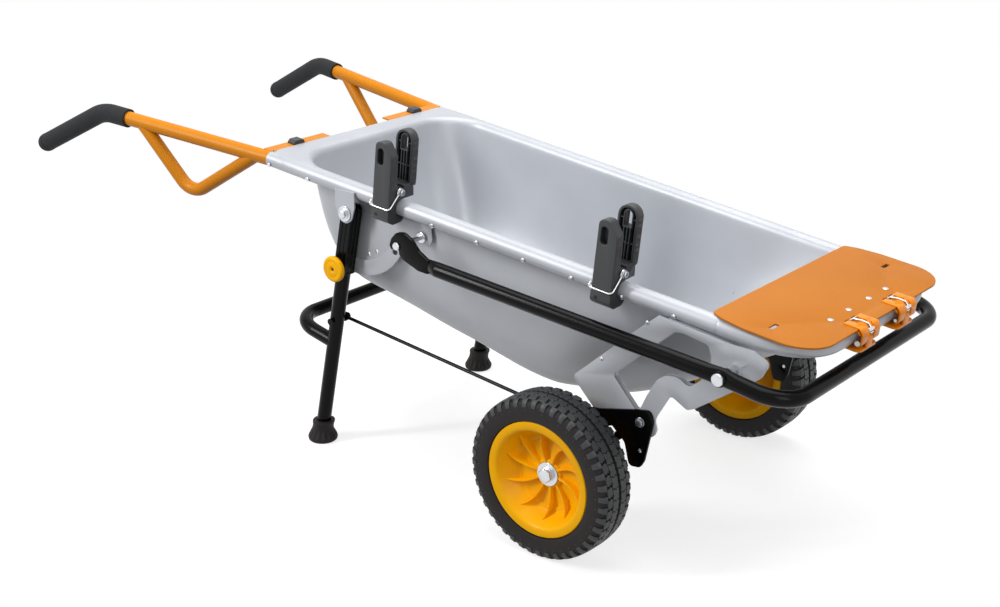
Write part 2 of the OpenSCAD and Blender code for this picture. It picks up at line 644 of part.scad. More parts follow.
// ---- wheel carriers, wheels and stay rods ----
stop_point = carrier_pivot + [1, -stop_drop];
carrier_elbow = carrier_pivot + [-108, -18];
module carrier(side) color(black) centre_length() sided(side) {
    difference() {
        sheet_between(carrier_in, carrier_in + carrier_plate) {
            hull() {
                translate(carrier_pivot + [2, 2]) circle(r = 23);
                translate(stop_point) circle(r = 19);
            }
            hull() {
                translate(carrier_pivot + [-8, 8]) circle(r = 15);
                translate(carrier_elbow) circle(r = 15);
            }
            hull() {
                translate(carrier_elbow - [0, 7]) circle(r = 22);
                translate([0, wheel_radius]) circle(r = 25);
            }
        }
        bar(carrier_pivot, bolt_size + 2*running, carrier_in - 1, carrier_in + carrier_plate + 1);
        bar(stop_point, 8, carrier_in - 1, carrier_in + carrier_plate + 1);
        bar([0, wheel_radius], axle_size, carrier_in - 1, carrier_in + carrier_plate + 1);
    }
    // boss that the stay rod's eye lies against, and the stop bolt's head
    bar(stay_pin, 14, stay_half + stay_rod/2 + seam, carrier_in + eps);
    bar(stop_point, 8, carrier_in, carrier_in + carrier_plate + eps);
    bar(stop_point, 14, carrier_in + carrier_plate, carrier_in + carrier_plate + 5);
}
hub_in = tyre_inner - 6;
hub_out = track/2 + 4;
module axle(side) color(zinc) centre_length() sided(side) {
    centre = [0, wheel_radius];
    bar(centre, axle_size, carrier_in - 2, hub_out + 1);
    bar(centre, axle_size + 12, carrier_in + carrier_plate, hub_in - seam);
    bar(centre, 32, hub_out + seam, hub_out + seam + 2);
    bar(centre, 20, hub_out + seam + 2 - eps, hub_out + seam + 8);
}
rod_lean = atan2(stay_point.y - stay_pin.y, stay_pin.x - stay_point.x);
rod_length = norm(stay_point - stay_pin);
module stay_rod_side(side) color(black) centre_length() sided(side)
    translate([stay_pin.x, stay_half, stay_pin.y]) rotate([0, rod_lean, 0]) difference() {
        union() {
            translate([-rod_length + 4, 0, 0]) rotate([0, 90, 0]) cylinder(d = stay_rod - 0.2, h = rod_length - 8);
            for (x = [0, -rod_length]) bar([x, 0], 15, -stay_rod/2, stay_rod/2);
        }
        bar([0, 0], 7, -stay_rod, stay_rod);
        bar([-rod_length, 0], 6 + 2*running, -stay_rod, stay_rod);
    }
module spun(side) centre_length() sided(side)
    translate([0, track/2, wheel_radius]) rotate([-90, 0, 0]) children();
rim_half_width = tyre_width/2 - 1.85;
rim_seat = rim_lip/2 - 6;
fit = 0.1;                 // gap between tyre, rim and disc
web = rim_seat - 10;
disc = web - 3;
module wheel(side) color([1, 0.6, 0]) spun(side) {
    hub = hub_size/2;
    rotate_extrude() polygon([
        [axle_size/2 + running, hub_in - track/2], [hub, hub_in - track/2], [hub + 3, -6], [disc - fit, -2],
        [disc - fit, 4], [hub + 7, 0], [hub, hub_out - track/2], [axle_size/2 + running, hub_out - track/2]]);
    for (i = [0 : rib_count - 1]) rotate([0, 0, i*360/rib_count])
        translate([hub - 2, -1.5, -1]) cube([disc - 2*fit - hub + 2, 3, 13]);
}
module wheel_rim(side) color([1, 0.6, 0]) spun(side) {
    lip = rim_lip/2;
    l = rim_half_width;
    rotate_extrude() polygon([
        [disc, -2], [web, -2], [web + 3, -l], [lip, -l], [lip, 3 - l], [rim_seat, 6 - l], [rim_seat, l - 6],
        [lip, l - 3], [lip, l], [lip - 10, l], [web, l - 14], [disc, 4]]);
}
module tyre(side) color(black) spun(side) {
    lip = rim_lip/2 + fit;
    l = rim_half_width - fit;
    half = tyre_width/2;
    difference() {
        rotate_extrude() polygon([
            [rim_seat + fit, 6 - l], [lip, 3 - l], [lip + 1.5, 1 - half], [wheel_radius - 20, -half],
            [wheel_radius - 9, 1 - half], [wheel_radius - 2, 9 - half], [wheel_radius, -12],
            [wheel_radius, 12], [wheel_radius - 2, half - 9], [wheel_radius - 9, half - 1],
            [wheel_radius - 20, half], [lip + 1.5, half - 1], [lip, l - 3], [rim_seat + fit, l - 6]]);
        for (z = [-12, 12]) translate([0, 0, z - 1.5]) difference() {
            cylinder(r = wheel_radius + 1, h = 3);
            translate([0, 0, -1]) cylinder(r = wheel_radius - 4, h = 5);
        }
    }
}

// ---- arm frame ----
// The arms' own frame: origin between the pivots, x forward along the arms.
module arm_frame_at(dip = 0) centre_length() translate([arm_pivot.x, 0, arm_pivot.y])
    rotate([0, arm_tilt + dip, 0]) children();
function arm_at(x) = arm_half - x*tan(rim_taper);
peg = arm_pivot + spin([-peg_reach, peg_lift], -arm_tilt);
arm_reach = (arm_front - arm_pivot_forward)/cos(arm_tilt + arm_dip);
module arm_rods(r, extra, meet) {
    arm_frame_at() for (s = [-1, 1]) sided(s)
        rod([[-arm_tail, arm_at(-arm_tail)], [-meet, arm_at(-meet)]], arm_bend, 2*r, extra);
    arm_frame_at(arm_dip) rod([[meet, -arm_at(meet)], [arm_reach, -arm_at(arm_reach)],
        [arm_reach, arm_at(arm_reach)], [meet, arm_at(meet)]], arm_bend, 2*r, extra);
}
arm_sleeve = 32;           // length of the bush that joins each arm to the loop
module arm_frame() color(black) difference() {
    union() {
        arm_rods(arm_tube/2, 0, arm_sleeve/4);
        arm_frame_at() for (s = [-1, 1]) sided(s)
            rod([[-arm_sleeve/2, arm_half], [arm_sleeve/2, arm_half]], arm_bend, arm_tube + 2*wall);
    }
    arm_rods(arm_tube/2 - wall, 1, bolt_size/2);
    arm_frame_at() for (s = [-1, 1]) bar([0, 0], bolt_size + 2*running, s*arm_half - arm_tube, s*arm_half + arm_tube);
}
// Flattened plate at the rear end of each arm, with the notch that drops over the peg.
hook_plate = 6;
module arm_hook(side) color(black) arm_frame_at() sided(side) {
    back = -peg_reach;
    at = arm_at(back);
    difference() {
        translate([0, at, 0]) sheet_between(-hook_plate/2, hook_plate/2) difference() {
            polygon([[-arm_tail - 20, -arm_tube/2 + 1], [back + 46, peg_lift - 20], [back + 6, peg_lift - 12],
                     [back + 4.5, peg_lift], [back - 4.5, peg_lift], [back - 5, peg_lift - 9], [back - 12, peg_lift - 7],
                     [back - 12, peg_lift + 4], [back - 3, peg_lift + 22], [back + 9, peg_lift + 27],
                     [back + 46, peg_lift + 14], [-arm_tail - 20, arm_tube/2 - 1]]);
            translate([back, peg_lift]) circle(d = peg_size + 2*seam);
            translate([back - 4.5, peg_lift - 12]) square([9, 12.1]);
        }
    }
    // flattened end of the tube
    difference() {
        hull() {
            translate([-arm_tail, arm_at(-arm_tail), 0]) rotate([0, -90, -rim_taper])
                cylinder(d = arm_tube, h = 1, $fn = 32);
            translate([-arm_tail - 26, at - hook_plate/2, -arm_tube/2 + 1]) cube([1, hook_plate, arm_tube - 2]);
        }
        translate([0, at, 0]) sheet_between(-hook_plate/2, hook_plate/2)
            polygon([[-arm_tail - 20, -arm_tube], [-arm_tail - 40, -arm_tube], [-arm_tail - 40, arm_tube], [-arm_tail - 20, arm_tube]]);
    }
}
module arm_bolts() color(zinc) centre_length() for (s = [-1, 1]) sided(s) {
    bar(arm_pivot, bolt_size, chassis_half - plate - 7, arm_half + arm_tube/2 + wall + seam + 1);
    bar(arm_pivot, 17, chassis_half - plate - 6, chassis_half - plate);
    bar(arm_pivot, 18, chassis_half, arm_half - arm_tube/2 - wall - seam);
    bar(arm_pivot, 16, arm_half + arm_tube/2 + wall + seam, arm_half + arm_tube/2 + wall + seam + 6);
}
module arm_pegs() color(zinc) centre_length() for (s = [-1, 1]) sided(s) {
    out = arm_at(-peg_reach) + hook_plate/2 + seam;
    bar(peg, peg_size, quadrant_out - plate, out + 1);
    bar(peg, peg_size + 5, out, out + 3);
}

// ---- toe plate ----
toe_low = roll/2 + seam;
toe_tip = rim_front + toe_overhang;
module toe_outline() {
    difference() {
        hull() for (s = [-1, 1]) {
            translate([toe_tip - toe_corner, s*(toe_half - toe_corner)]) circle(r = toe_corner);
            translate([toe_rear + 14, s*(toe_half - 22)]) circle(r = 14);
            translate([toe_rear + 50, s*(toe_half - 14)]) circle(r = 14);
        }
        for (s = [-1, 1]) translate([toe_tip - 5, s*hinge_half]) square([14, 19], center = true);
    }
}
module toe_plate() color(orange) centre_length() on_rim() {
    difference() {
        translate([0, 0, toe_low]) linear_extrude(toe_sheet) toe_outline();
        for (s = [-1, 1]) {
            for (d = [-26.5, 26.5]) translate([toe_tip - 42, s*hinge_half + s*d, 0]) cylinder(d = 8, h = 30);
            translate([toe_tip - 84, s*166, 0]) linear_extrude(30) square([7, 20], center = true);
        }
    }
    for (s = [-1, 1]) sided(s) {
        // barrels and the straps that carry them
        for (d = [-1, 1]) translate([0, hinge_half + d*hinge_length*0.335, 0]) {
            difference() {
                union() {
                    bar([hinge_x, hinge_z], hinge_barrel, -hinge_length*0.16, hinge_length*0.16);
                    translate([hinge_x + hinge_barrel/2 - toe_sheet, -hinge_length*0.16, hinge_z])
                        cube([toe_sheet, hinge_length*0.32, toe_low + toe_sheet - hinge_z]);
                    translate([toe_tip - 2, -hinge_length*0.16, toe_low])
                        cube([hinge_x + hinge_barrel/2 - toe_tip + 2, hinge_length*0.32, toe_sheet]);
                }
                bar([hinge_x, hinge_z], hinge_pin + 2*running, -hinge_length, hinge_length);
            }
        }
        // rivet heads of the hinge
        for (d = [-26.5, 26.5]) translate([toe_tip - 42, hinge_half + d, toe_low + 0.4]) cylinder(d = 8, h = 1.4);
    }
}
module toe_hinge_leaves() color(orange) centre_length() on_rim() for (s = [-1, 1]) sided(s)
    translate([0, hinge_half, 0]) difference() {
        union() {
            bar([hinge_x, hinge_z], hinge_barrel, -hinge_length*0.16, hinge_length*0.16);
            translate([hinge_x + hinge_barrel/2 - plate, -hinge_length*0.16, -rim_tube/2 - plate])
                cube([plate, hinge_length*0.32, rim_tube/2 + plate + hinge_z]);
            translate([rim_front - 8, -hinge_length/2, -rim_tube/2 - plate])
                cube([hinge_x + hinge_barrel/2 - rim_front + 8, hinge_length, plate]);
        }
        bar([hinge_x, hinge_z], hinge_pin, -hinge_length, hinge_length);
    }
module toe_hinge_pins() color(zinc) centre_length() on_rim() for (s = [-1, 1]) sided(s) {
    bar([hinge_x, hinge_z], hinge_pin, hinge_half - hinge_length/2, hinge_half + hinge_length/2);
    bar([hinge_x, hinge_z], hinge_pin + 3, hinge_half + hinge_length/2, hinge_half + hinge_length/2 + 2);
}
// Wire latch that lies on the plate between the barrels and hooks over its front edge.
module toe_latch() color(zinc) centre_length() on_rim() for (s = [-1, 1]) sided(s)
    translate([0, hinge_half, toe_low + toe_sheet + 1.25]) {
        translate([toe_tip - 30, 0, 0]) rotate([0, 90, 0]) cylinder(d = 2.5, h = 22);
        translate([toe_tip - 30, -9, 0]) rotate([-90, 0, 0]) cylinder(d = 2.5, h = 18);
        translate([toe_tip - 8, -5, 0]) rotate([-90, 0, 0]) cylinder(d = 4.5, h = 10);
    }

// ---- tool clips, drawn in section: x outwards, y up, from the rim tube's axis ----
jaw_gap = tool_size/2 - 1;
clip_bolt = [9, roll/2 + 14];
clip_shank = 5;
ring = roll/2 + 6;
outer_face = jaw_gap + 18;
boss = 11;                 // width of the base's boss on the clip bolt
jaw_open = 10;
module at_clip(x) centre_length() on_rim() sided(-1)
    translate([x, rim_half(x), 0]) rotate([90, 0, 90 - rim_taper]) translate([0, 0, -clip_width/2]) children();
module clip_base_section() difference() {
    union() {
        circle(r = ring);
        translate([4, -ring - 5]) square([outer_face - 4, ring + 5 - seam]);
        translate([-jaw_gap - 12, roll/2]) square([jaw_gap + 12 + clip_bolt.x, clip_bolt.y - roll/2 + 8]);
        hull() {
            translate([-jaw_gap - 18, clip_bolt.y]) square([18, 2]);
            translate([-jaw_gap - 8, inner_jaw_top - 8]) circle(r = 8);
        }
    }
    circle(d = roll + 2*running);
    translate([-3*ring, -3*ring]) square([3*ring - 4, 3*ring + roll/2]);
    translate([0, tool_height]) circle(d = tool_size);
    // room for the jaw's foot
    intersection() {
        translate(clip_bolt) circle(r = norm([outer_face, seam] - clip_bolt) + seam);
        translate([ring + seam, -3*ring]) square(6*ring);
    }
}
module clip_base(x) color(dark) at_clip(x) difference() {
    union() {
        difference() {
            linear_extrude(clip_width) clip_base_section();
            // room for the jaw's two lugs
            for (z = [-1, (clip_width + boss)/2]) translate([0, 0, z])
                linear_extrude((clip_width - boss)/2 + 1) translate(clip_bolt) circle(r = 7 + seam);
        }
        translate([clip_bolt.x, clip_bolt.y, (clip_width - boss)/2]) cylinder(r = 7, h = boss);
    }
    // window of the inner jaw
    translate([-2*tool_size, inner_jaw_top - 38, clip_width/2]) rotate([0, 90, 0]) rotate([0, 0, 90]) hull() {
        cylinder(d = 14, h = 2*tool_size, $fn = 32);
        translate([14, 0, 0]) cylinder(d = 14, h = 2*tool_size, $fn = 32);
    }
    translate([clip_bolt.x, clip_bolt.y, -1]) cylinder(d = clip_shank, h = clip_width + 2);
}
module clip_jaw(x) color(dark) at_clip(x) difference() {
    union() {
        linear_extrude(clip_width) difference() {
            hull() {
                translate([ring + 7.5, seam]) square([outer_face - ring - 7.5, 2]);
                translate([jaw_gap + 2, clip_bolt.y - 5]) square([outer_face - jaw_gap - 2, 10]);
                translate([jaw_gap, tool_height - 10]) square([outer_face - jaw_gap, 20]);
                translate([jaw_gap + 9, outer_jaw_top - 9]) circle(r = 9);
            }
            translate([0, tool_height]) circle(d = tool_size);
            translate(clip_bolt) circle(r = 7 + seam);
        }
        for (z = [0, (clip_width + boss)/2 + seam]) translate([0, 0, z]) linear_extrude((clip_width - boss)/2 - seam) {
            translate(clip_bolt) circle(r = 7);
            translate([clip_bolt.x, clip_bolt.y - 5]) square([outer_face - clip_bolt.x - 4, 11]);
        }
    }
    translate([jaw_gap + 8, outer_jaw_top - 40, clip_width/2 - 8]) cube([20, 27, 16]);
    translate([clip_bolt.x, clip_bolt.y, -1]) cylinder(d = clip_shank + 2*running, h = clip_width + 2);
    // groove for the bail
    translate([outer_face - 0.2, 3, -1]) cylinder(d = clip_wire + 2*fit, h = clip_width + 2);
}
module clip_bail(x) color(zinc) at_clip(x) {
    foot = [outer_face - 0.2, 3];
    reach = foot - clip_bolt;
    out = clip_wire/2 + 0.3;
    for (z = [-out, clip_width + out]) translate([clip_bolt.x, clip_bolt.y, z]) {
        rotate([0, 0, atan2(reach.y, reach.x)]) rotate([0, 90, 0])
            translate([0, 0, 5]) cylinder(d = clip_wire - 0.2, h = norm(reach) - 5);
        difference() {
            translate([0, 0, -clip_wire/2]) cylinder(d = 12, h = clip_wire);
            translate([0, 0, -clip_wire]) cylinder(d = clip_shank + 2*running, h = 2*clip_wire);
        }
    }
    translate([foot.x, foot.y, -out - clip_wire/2]) cylinder(d = clip_wire, h = clip_width + 2*out + clip_wire);
}
module clip_bolts() color(zinc) for (x = [-rear_clip_back, front_clip_forward]) at_clip(x)
    translate([clip_bolt.x, clip_bolt.y, 0]) {
        out = clip_wire + 0.6;
        translate([0, 0, -out - 1]) cylinder(d = clip_shank, h = clip_width + 2*out + 2);
        for (z = [-out - 3, clip_width + out]) translate([0, 0, z]) cylinder(d = 10, h = 3);
    }

tub();
side_tube(1);  // side_tube_left
side_tube(-1);  // side_tube_right
nose_tube();
rim_rivets();
handle(1);  // handle_left
handle(-1);  // handle_right
handle_brace(1);  // handle_brace_left
handle_brace(-1);  // handle_brace_right
grip(1);  // grip_left
grip(-1);  // grip_right
rear_bracket(1);  // rear_bracket_left
rear_bracket(-1);  // rear_bracket_right
bracket_clips();
leg_hanger(1);  // leg_hanger_left
leg_hanger(-1);  // leg_hanger_right
quadrant(1);  // quadrant_left
quadrant(-1);  // quadrant_right
leg(1);  // leg_left
leg(-1);  // leg_right
leg_brace();
foot(1);  // foot_left
foot(-1);  // foot_right
leg_bolts();
stay_bolts();
lock_knob(1);  // lock_knob_left
lock_knob(-1);  // lock_knob_right
chassis(1);  // chassis_left
chassis(-1);  // chassis_right
carrier_bolts();
carrier(1);  // carrier_left
carrier(-1);  // carrier_right
axle(1);  // axle_left
axle(-1);  // axle_right
stay_rod_side(1);  // stay_rod_left
stay_rod_side(-1);  // stay_rod_right
wheel(1);  // wheel_left
wheel(-1);  // wheel_right
wheel_rim(1);  // wheel_rim_left
wheel_rim(-1);  // wheel_rim_right
tyre(1);  // tyre_left
tyre(-1);  // tyre_right
arm_frame();
arm_hook(1);  // arm_hook_left
arm_hook(-1);  // arm_hook_right
arm_bolts();
arm_pegs();
toe_plate();
toe_hinge_leaves();
toe_hinge_pins();
toe_latch();
clip_base(front_clip_forward);  // clip_base_front
clip_base(-rear_clip_back);  // clip_base_rear
clip_jaw(front_clip_forward);  // clip_jaw_front
clip_jaw(-rear_clip_back);  // clip_jaw_rear
clip_bail(front_clip_forward);  // clip_bail_front
clip_bail(-rear_clip_back);  // clip_bail_rear
clip_bolts();
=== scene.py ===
# A convertible two-wheel barrow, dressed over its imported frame.
import json
import math
import bmesh
import bpy
from mathutils import Matrix, Vector


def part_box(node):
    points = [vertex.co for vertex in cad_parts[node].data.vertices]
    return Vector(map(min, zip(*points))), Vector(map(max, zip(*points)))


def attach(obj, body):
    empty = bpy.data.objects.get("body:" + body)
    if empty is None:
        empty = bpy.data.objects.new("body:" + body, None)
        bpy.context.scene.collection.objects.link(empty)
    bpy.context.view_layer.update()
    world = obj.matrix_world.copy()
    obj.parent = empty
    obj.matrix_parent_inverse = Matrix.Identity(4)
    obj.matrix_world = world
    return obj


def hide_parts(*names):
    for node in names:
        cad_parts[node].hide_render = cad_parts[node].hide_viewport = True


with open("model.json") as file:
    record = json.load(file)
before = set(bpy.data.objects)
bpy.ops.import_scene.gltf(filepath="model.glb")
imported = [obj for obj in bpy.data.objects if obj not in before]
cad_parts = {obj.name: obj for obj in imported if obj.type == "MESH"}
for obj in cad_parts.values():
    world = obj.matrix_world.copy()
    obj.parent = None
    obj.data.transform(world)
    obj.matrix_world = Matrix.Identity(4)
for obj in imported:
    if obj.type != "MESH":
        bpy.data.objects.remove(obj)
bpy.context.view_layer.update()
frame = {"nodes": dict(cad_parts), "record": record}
nodes = frame["nodes"]


# ---------------------------------------------------------------- measures
MM = 0.001


def middle(node):
    low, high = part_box(node)
    return (Vector(low) + Vector(high)) / 2


AXLE_X = middle("tyre_left").x
RIM_TILT = math.radians(6.48)
RIM_HEIGHT = 412.9 * MM
# The rim's own frame: x along the rim from above the axle, z square to it, in millimetres.
RIM = (Matrix.Translation((AXLE_X, 0, RIM_HEIGHT)) @ Matrix.Rotation(RIM_TILT, 4, "Y")
       @ Matrix.Scale(MM, 4))
SIDES = (("left", 1), ("right", -1))
X, Y, Z = Vector((1, 0, 0)), Vector((0, 1, 0)), Vector((0, 0, 1))


def ground(x, y, z):
    """A point measured in millimetres from the ground under the middle of the axles."""
    return Vector((AXLE_X + x * MM, y * MM, z * MM))


def beside(sign):
    """Places on one side of the barrow, as (along, up, out from the middle)."""
    return lambda x, z, out: ground(x, sign * out, z)


def plain(x, y, z):
    return Vector((x, y, z))


def vectors(*rows):
    return [Vector(row) for row in rows]


def turns(count):
    """Angles spread evenly over one turn."""
    return [2 * math.pi * k / count for k in range(count)]


# ---------------------------------------------------------------- materials
def srgb(code):
    channels = [int(code[i:i + 2], 16) / 255 for i in (1, 3, 5)]
    return [c / 12.92 if c <= 0.04045 else ((c + 0.055) / 1.055) ** 2.4 for c in channels] + [1.0]


def finish(name):
    """A new material with its shader ready to take links."""
    material = bpy.data.materials.new(name)
    material.use_nodes = True
    tree = material.node_tree
    return material, tree, tree.nodes["Principled BSDF"]


def add(tree, kind, settings=None, **links):
    """Adds one node. Settings are sockets or attributes of the node; links are sockets by name."""
    node = tree.nodes.new("ShaderNode" + kind)
    for key, value in (settings or {}).items():
        if key in node.inputs:
            node.inputs[key].default_value = value
        else:
            setattr(node, key, value)
    for key, source in links.items():
        tree.links.new(source, node.inputs[key.replace("_", " ")])
    return node


def calc(tree, operation, *values):
    """The result of a Math node; each value is a socket or a number."""
    node = add(tree, "Math", {"operation": operation})
    for socket, value in zip(node.inputs, values):
        if isinstance(value, (int, float)):
            socket.default_value = value
        else:
            tree.links.new(value, socket)
    return node.outputs[0]


def ramp(tree, source, stops):
    """Colours or greys along a value; stops are (place, colour)."""
    node = tree.nodes.new("ShaderNodeValToRGB")
    tree.links.new(source, node.inputs["Fac"])
    marks = node.color_ramp.elements
    while len(marks) < len(stops):
        marks.new(0.5)
    for mark, (place, colour) in zip(marks, stops):
        mark.position = place
        mark.color = colour if not isinstance(colour, (int, float)) else (colour, colour, colour, 1)
    return node.outputs["Color"]


def coated_steel(name, colour, dark, roughness, grain_mm, relief, sheen_level=0.5):
    """Steel tube or sheet under baked polyester powder: a fine orange-peel skin with a soft sheen."""
    material, tree, shader = finish(name)
    place = add(tree, "TexCoord").outputs["Object"]
    cloud = add(tree, "TexNoise", {"Scale": 9.0, "Detail": 3.0}, Vector=place)
    tone = ramp(tree, cloud.outputs["Fac"], [(0.35, srgb(dark)), (0.65, srgb(colour))])
    tree.links.new(tone, shader.inputs["Base Color"])
    peel = add(tree, "TexNoise", {"Scale": 1000 / grain_mm, "Detail": 2.0}, Vector=place)
    bump = add(tree, "Bump", {"Strength": relief, "Distance": 0.0002}, Height=peel.outputs["Fac"])
    tree.links.new(bump.outputs["Normal"], shader.inputs["Normal"])
    sheen = ramp(tree, peel.outputs["Fac"], [(0.3, roughness - 0.05), (0.7, roughness + 0.07)])
    tree.links.new(sheen, shader.inputs["Roughness"])
    shader.inputs["IOR"].default_value = 1.5
    shader.inputs["Specular IOR Level"].default_value = sheen_level
    return material


# Metallic silver powder on pressed steel: fine flake gives a broad grey sheen.
silver = coated_steel("silver_powder_coat", "#B8BBC1", "#B2B5BB", 0.40, 1.2, 0.05, 0.3)
silver.node_tree.nodes["Principled BSDF"].inputs["Metallic"].default_value = 0.22
# Orange polyester powder on tube and plate.
orange_coat = coated_steel("orange_powder_coat", "#CF800E", "#C97C0D", 0.34, 1.4, 0.04, 0.15)
# Black powder on tube: semi-gloss, the highlights stay narrow.
black_coat = coated_steel("black_powder_coat", "#070708", "#050506", 0.20, 1.6, 0.03, 0.10)
# The toe plate's coat is duller and browner than the handles': painted shade for how the flat, up-facing plate
# takes the light; it is the same coat as on its hinges.
toe_shaded_coat = coated_steel("toe_shaded_powder_coat", "#BC7222", "#B86E1F", 0.50, 1.5, 0.03, 0.12)
# The toe plate's hinges have a glossier, brighter and redder copy of that coat: painted light on their
# forward-facing straps and tabs.
hinge_lit_coat = coated_steel("hinge_lit_powder_coat", "#F08C0A", "#EA8608", 0.30, 1.4, 0.03, 0.25)


def moulded(name, colour, roughness, grain_mm, relief, sheen_level=0.5):
    """Moulded plastic or rubber: one even colour with a spark-eroded grain."""
    material, tree, shader = finish(name)
    place = add(tree, "TexCoord").outputs["Object"]
    grain = add(tree, "TexNoise", {"Scale": 1000 / grain_mm, "Detail": 3.0}, Vector=place)
    bump = add(tree, "Bump", {"Strength": relief, "Distance": 0.0003}, Height=grain.outputs["Fac"])
    tree.links.new(bump.outputs["Normal"], shader.inputs["Normal"])
    cloud = add(tree, "TexNoise", {"Scale": 25.0, "Detail": 2.0}, Vector=place)
    base = srgb(colour)
    worn = [c * 0.94 for c in base[:3]] + [1]
    tree.links.new(ramp(tree, cloud.outputs["Fac"], [(0.35, worn), (0.65, base)]),
                   shader.inputs["Base Color"])
    tree.links.new(ramp(tree, grain.outputs["Fac"], [(0.3, roughness - 0.06), (0.7, roughness + 0.08)]),
                   shader.inputs["Roughness"])
    shader.inputs["IOR"].default_value = 1.49
    shader.inputs["Specular IOR Level"].default_value = sheen_level
    return material


# Injection-moulded polypropylene: bright orange with a satin skin.
orange_plastic = moulded("orange_polypropylene", "#FFB800", 0.34, 1.0, 0.05, 0.15)
# Glass-filled nylon of the tool clips: near black and dry.
black_nylon = moulded("black_nylon", "#2C2E31", 0.46, 1.0, 0.14)
# Closed-cell EVA foam of the grips: soft and grainy, with no gloss.
foam = moulded("eva_foam", "#1B1C1F", 0.85, 1.6, 0.60, 0.4)
# Natural rubber of the tyres and feet, with a brownish bloom on the smooth walls.
rubber = moulded("tyre_rubber", "#171413", 0.60, 1.5, 0.15, 0.25)
# The tread's rubber, greyer where the mould leaves it matt.
tread_rubber = moulded("tread_rubber", "#27282A", 0.50, 1.3, 0.22, 0.5)


def plated(name, colour, roughness):
    """Zinc-plated steel: a bright bluish metal with faint rubbing marks."""
    material, tree, shader = finish(name)
    place = add(tree, "TexCoord").outputs["Object"]
    rub = add(tree, "TexNoise", {"Scale": 600.0, "Detail": 3.0}, Vector=place)
    tree.links.new(ramp(tree, rub.outputs["Fac"], [(0.3, roughness - 0.08), (0.7, roughness + 0.10)]),
                   shader.inputs["Roughness"])
    shader.inputs["Base Color"].default_value = srgb(colour)
    shader.inputs["Metallic"].default_value = 1.0
    return material


zinc = plated("zinc_plate", "#C3C6CA", 0.30)
# Blackened bolts of the wheel carriers.
dark_steel = plated("blackened_steel", "#8A8D92", 0.34)
# Drawn spring wire of the bails and latches.
bright_wire = plated("bright_wire", "#DADADB", 0.22)
# Depth of small blind holes.
shade, _, shade_shader = finish("hole_shade")
shade_shader.inputs["Base Color"].default_value = srgb("#08080A")
shade_shader.inputs["Roughness"].default_value = 0.8

COATS = {
    "silver_coat": silver, "orange_coat": orange_coat, "black_coat": black_coat,
    "orange_plastic": orange_plastic, "black_plastic": black_nylon, "foam": foam,
    "rubber": rubber, "tyre": rubber, "zinc": zinc,
}
for part in frame["record"]["subparts"]:
    node = nodes[part["node"]]
    node.data.materials.clear()
    node.data.materials.append(COATS[part["material_slot"]])


# ---------------------------------------------------------------- mesh tools
def loft(rings, caps=()):
    """A skin through rings of points that all have the same count; caps names the rings to fill."""
    count = len(rings[0])
    mesh = bmesh.new()
    along = len(rings) - 1
    bmesh.ops.create_grid(mesh, x_segments=along, y_segments=count, size=1)
    grid = {(round((v.co.x + 1) / 2 * along), round((v.co.y + 1) / 2 * count)): v for v in mesh.verts}
    for (row, column), vert in grid.items():
        vert.co = rings[row][column % count]
    bmesh.ops.weld_verts(mesh, targetmap={grid[row, count]: grid[row, 0] for row in range(len(rings))})
    for row in caps:
        row = range(len(rings))[row]
        line = [grid[row, column] for column in range(count)]
        ends = set(line)
        edge = {e for v in line for e in v.link_edges if e.other_vert(v) in ends and len(e.link_faces) < 2}
        bmesh.ops.contextual_create(mesh, geom=sorted(edge, key=lambda e: e.index))
    bmesh.ops.recalc_face_normals(mesh, faces=mesh.faces)
    return mesh


def circle(centre, radius, across, up, count=24):
    """Points round a circle in the plane of two directions."""
    return [centre + across * radius * math.cos(a) + up * radius * math.sin(a) for a in turns(count)]


def sewn(mesh):
    """Joins the first and last ring of a skin that closes on itself."""
    bmesh.ops.remove_doubles(mesh, verts=mesh.verts, dist=1e-6)
    bmesh.ops.recalc_face_normals(mesh, faces=mesh.faces)
    return mesh


def around(mesh, centre, axis, count):
    """Copies of a mesh turned evenly round an axis."""
    data = bpy.data.meshes.new("sector")
    mesh.to_mesh(data)
    mesh.free()
    step = (Matrix.Translation(centre) @ Matrix.Rotation(2 * math.pi / count, 4, axis)
            @ Matrix.Translation(-centre))
    whole = bmesh.new()
    for _ in range(count):
        whole.from_mesh(data)
        data.transform(step)
    bpy.data.meshes.remove(data)
    return whole


def turned_rings(profile, start, axis, count):
    axis = axis.normalized()
    across = axis.orthogonal().normalized()
    up = axis.cross(across)
    return [circle(start + axis * d, r, across, up, count) for d, r in profile]


def turned(profile, start, axis, count=32):
    """A turned piece: profile holds (distance along the axis, radius); both ends are closed."""
    return loft(turned_rings(profile, start, axis, count), caps=(0, -1))


def lathe(profile, start, axis, count=32):
    """A turned piece whose profile is in millimetres, at a place in metres."""
    return turned([(d * MM, r * MM) for d, r in profile], start, axis, count)


def ring_turned(profile, start, axis, count=64):
    """A turned ring: the profile is a closed loop of (distance, radius)."""
    rings = turned_rings(profile, start, axis, count)
    return sewn(loft(rings + rings[:1]))


def swept(path, radius, count=16):
    """A tube along a path; the section turns as little as it can."""
    rings = []
    across = None
    for i, point in enumerate(path):
        ahead = (path[min(i + 1, len(path) - 1)] - path[max(i - 1, 0)]).normalized()
        if across is None:
            across = ahead.orthogonal().normalized()
        across = (across - ahead * across.dot(ahead)).normalized()
        rings.append(circle(point, radius, across, ahead.cross(across), count))
    return loft(rings, caps=(0, -1))


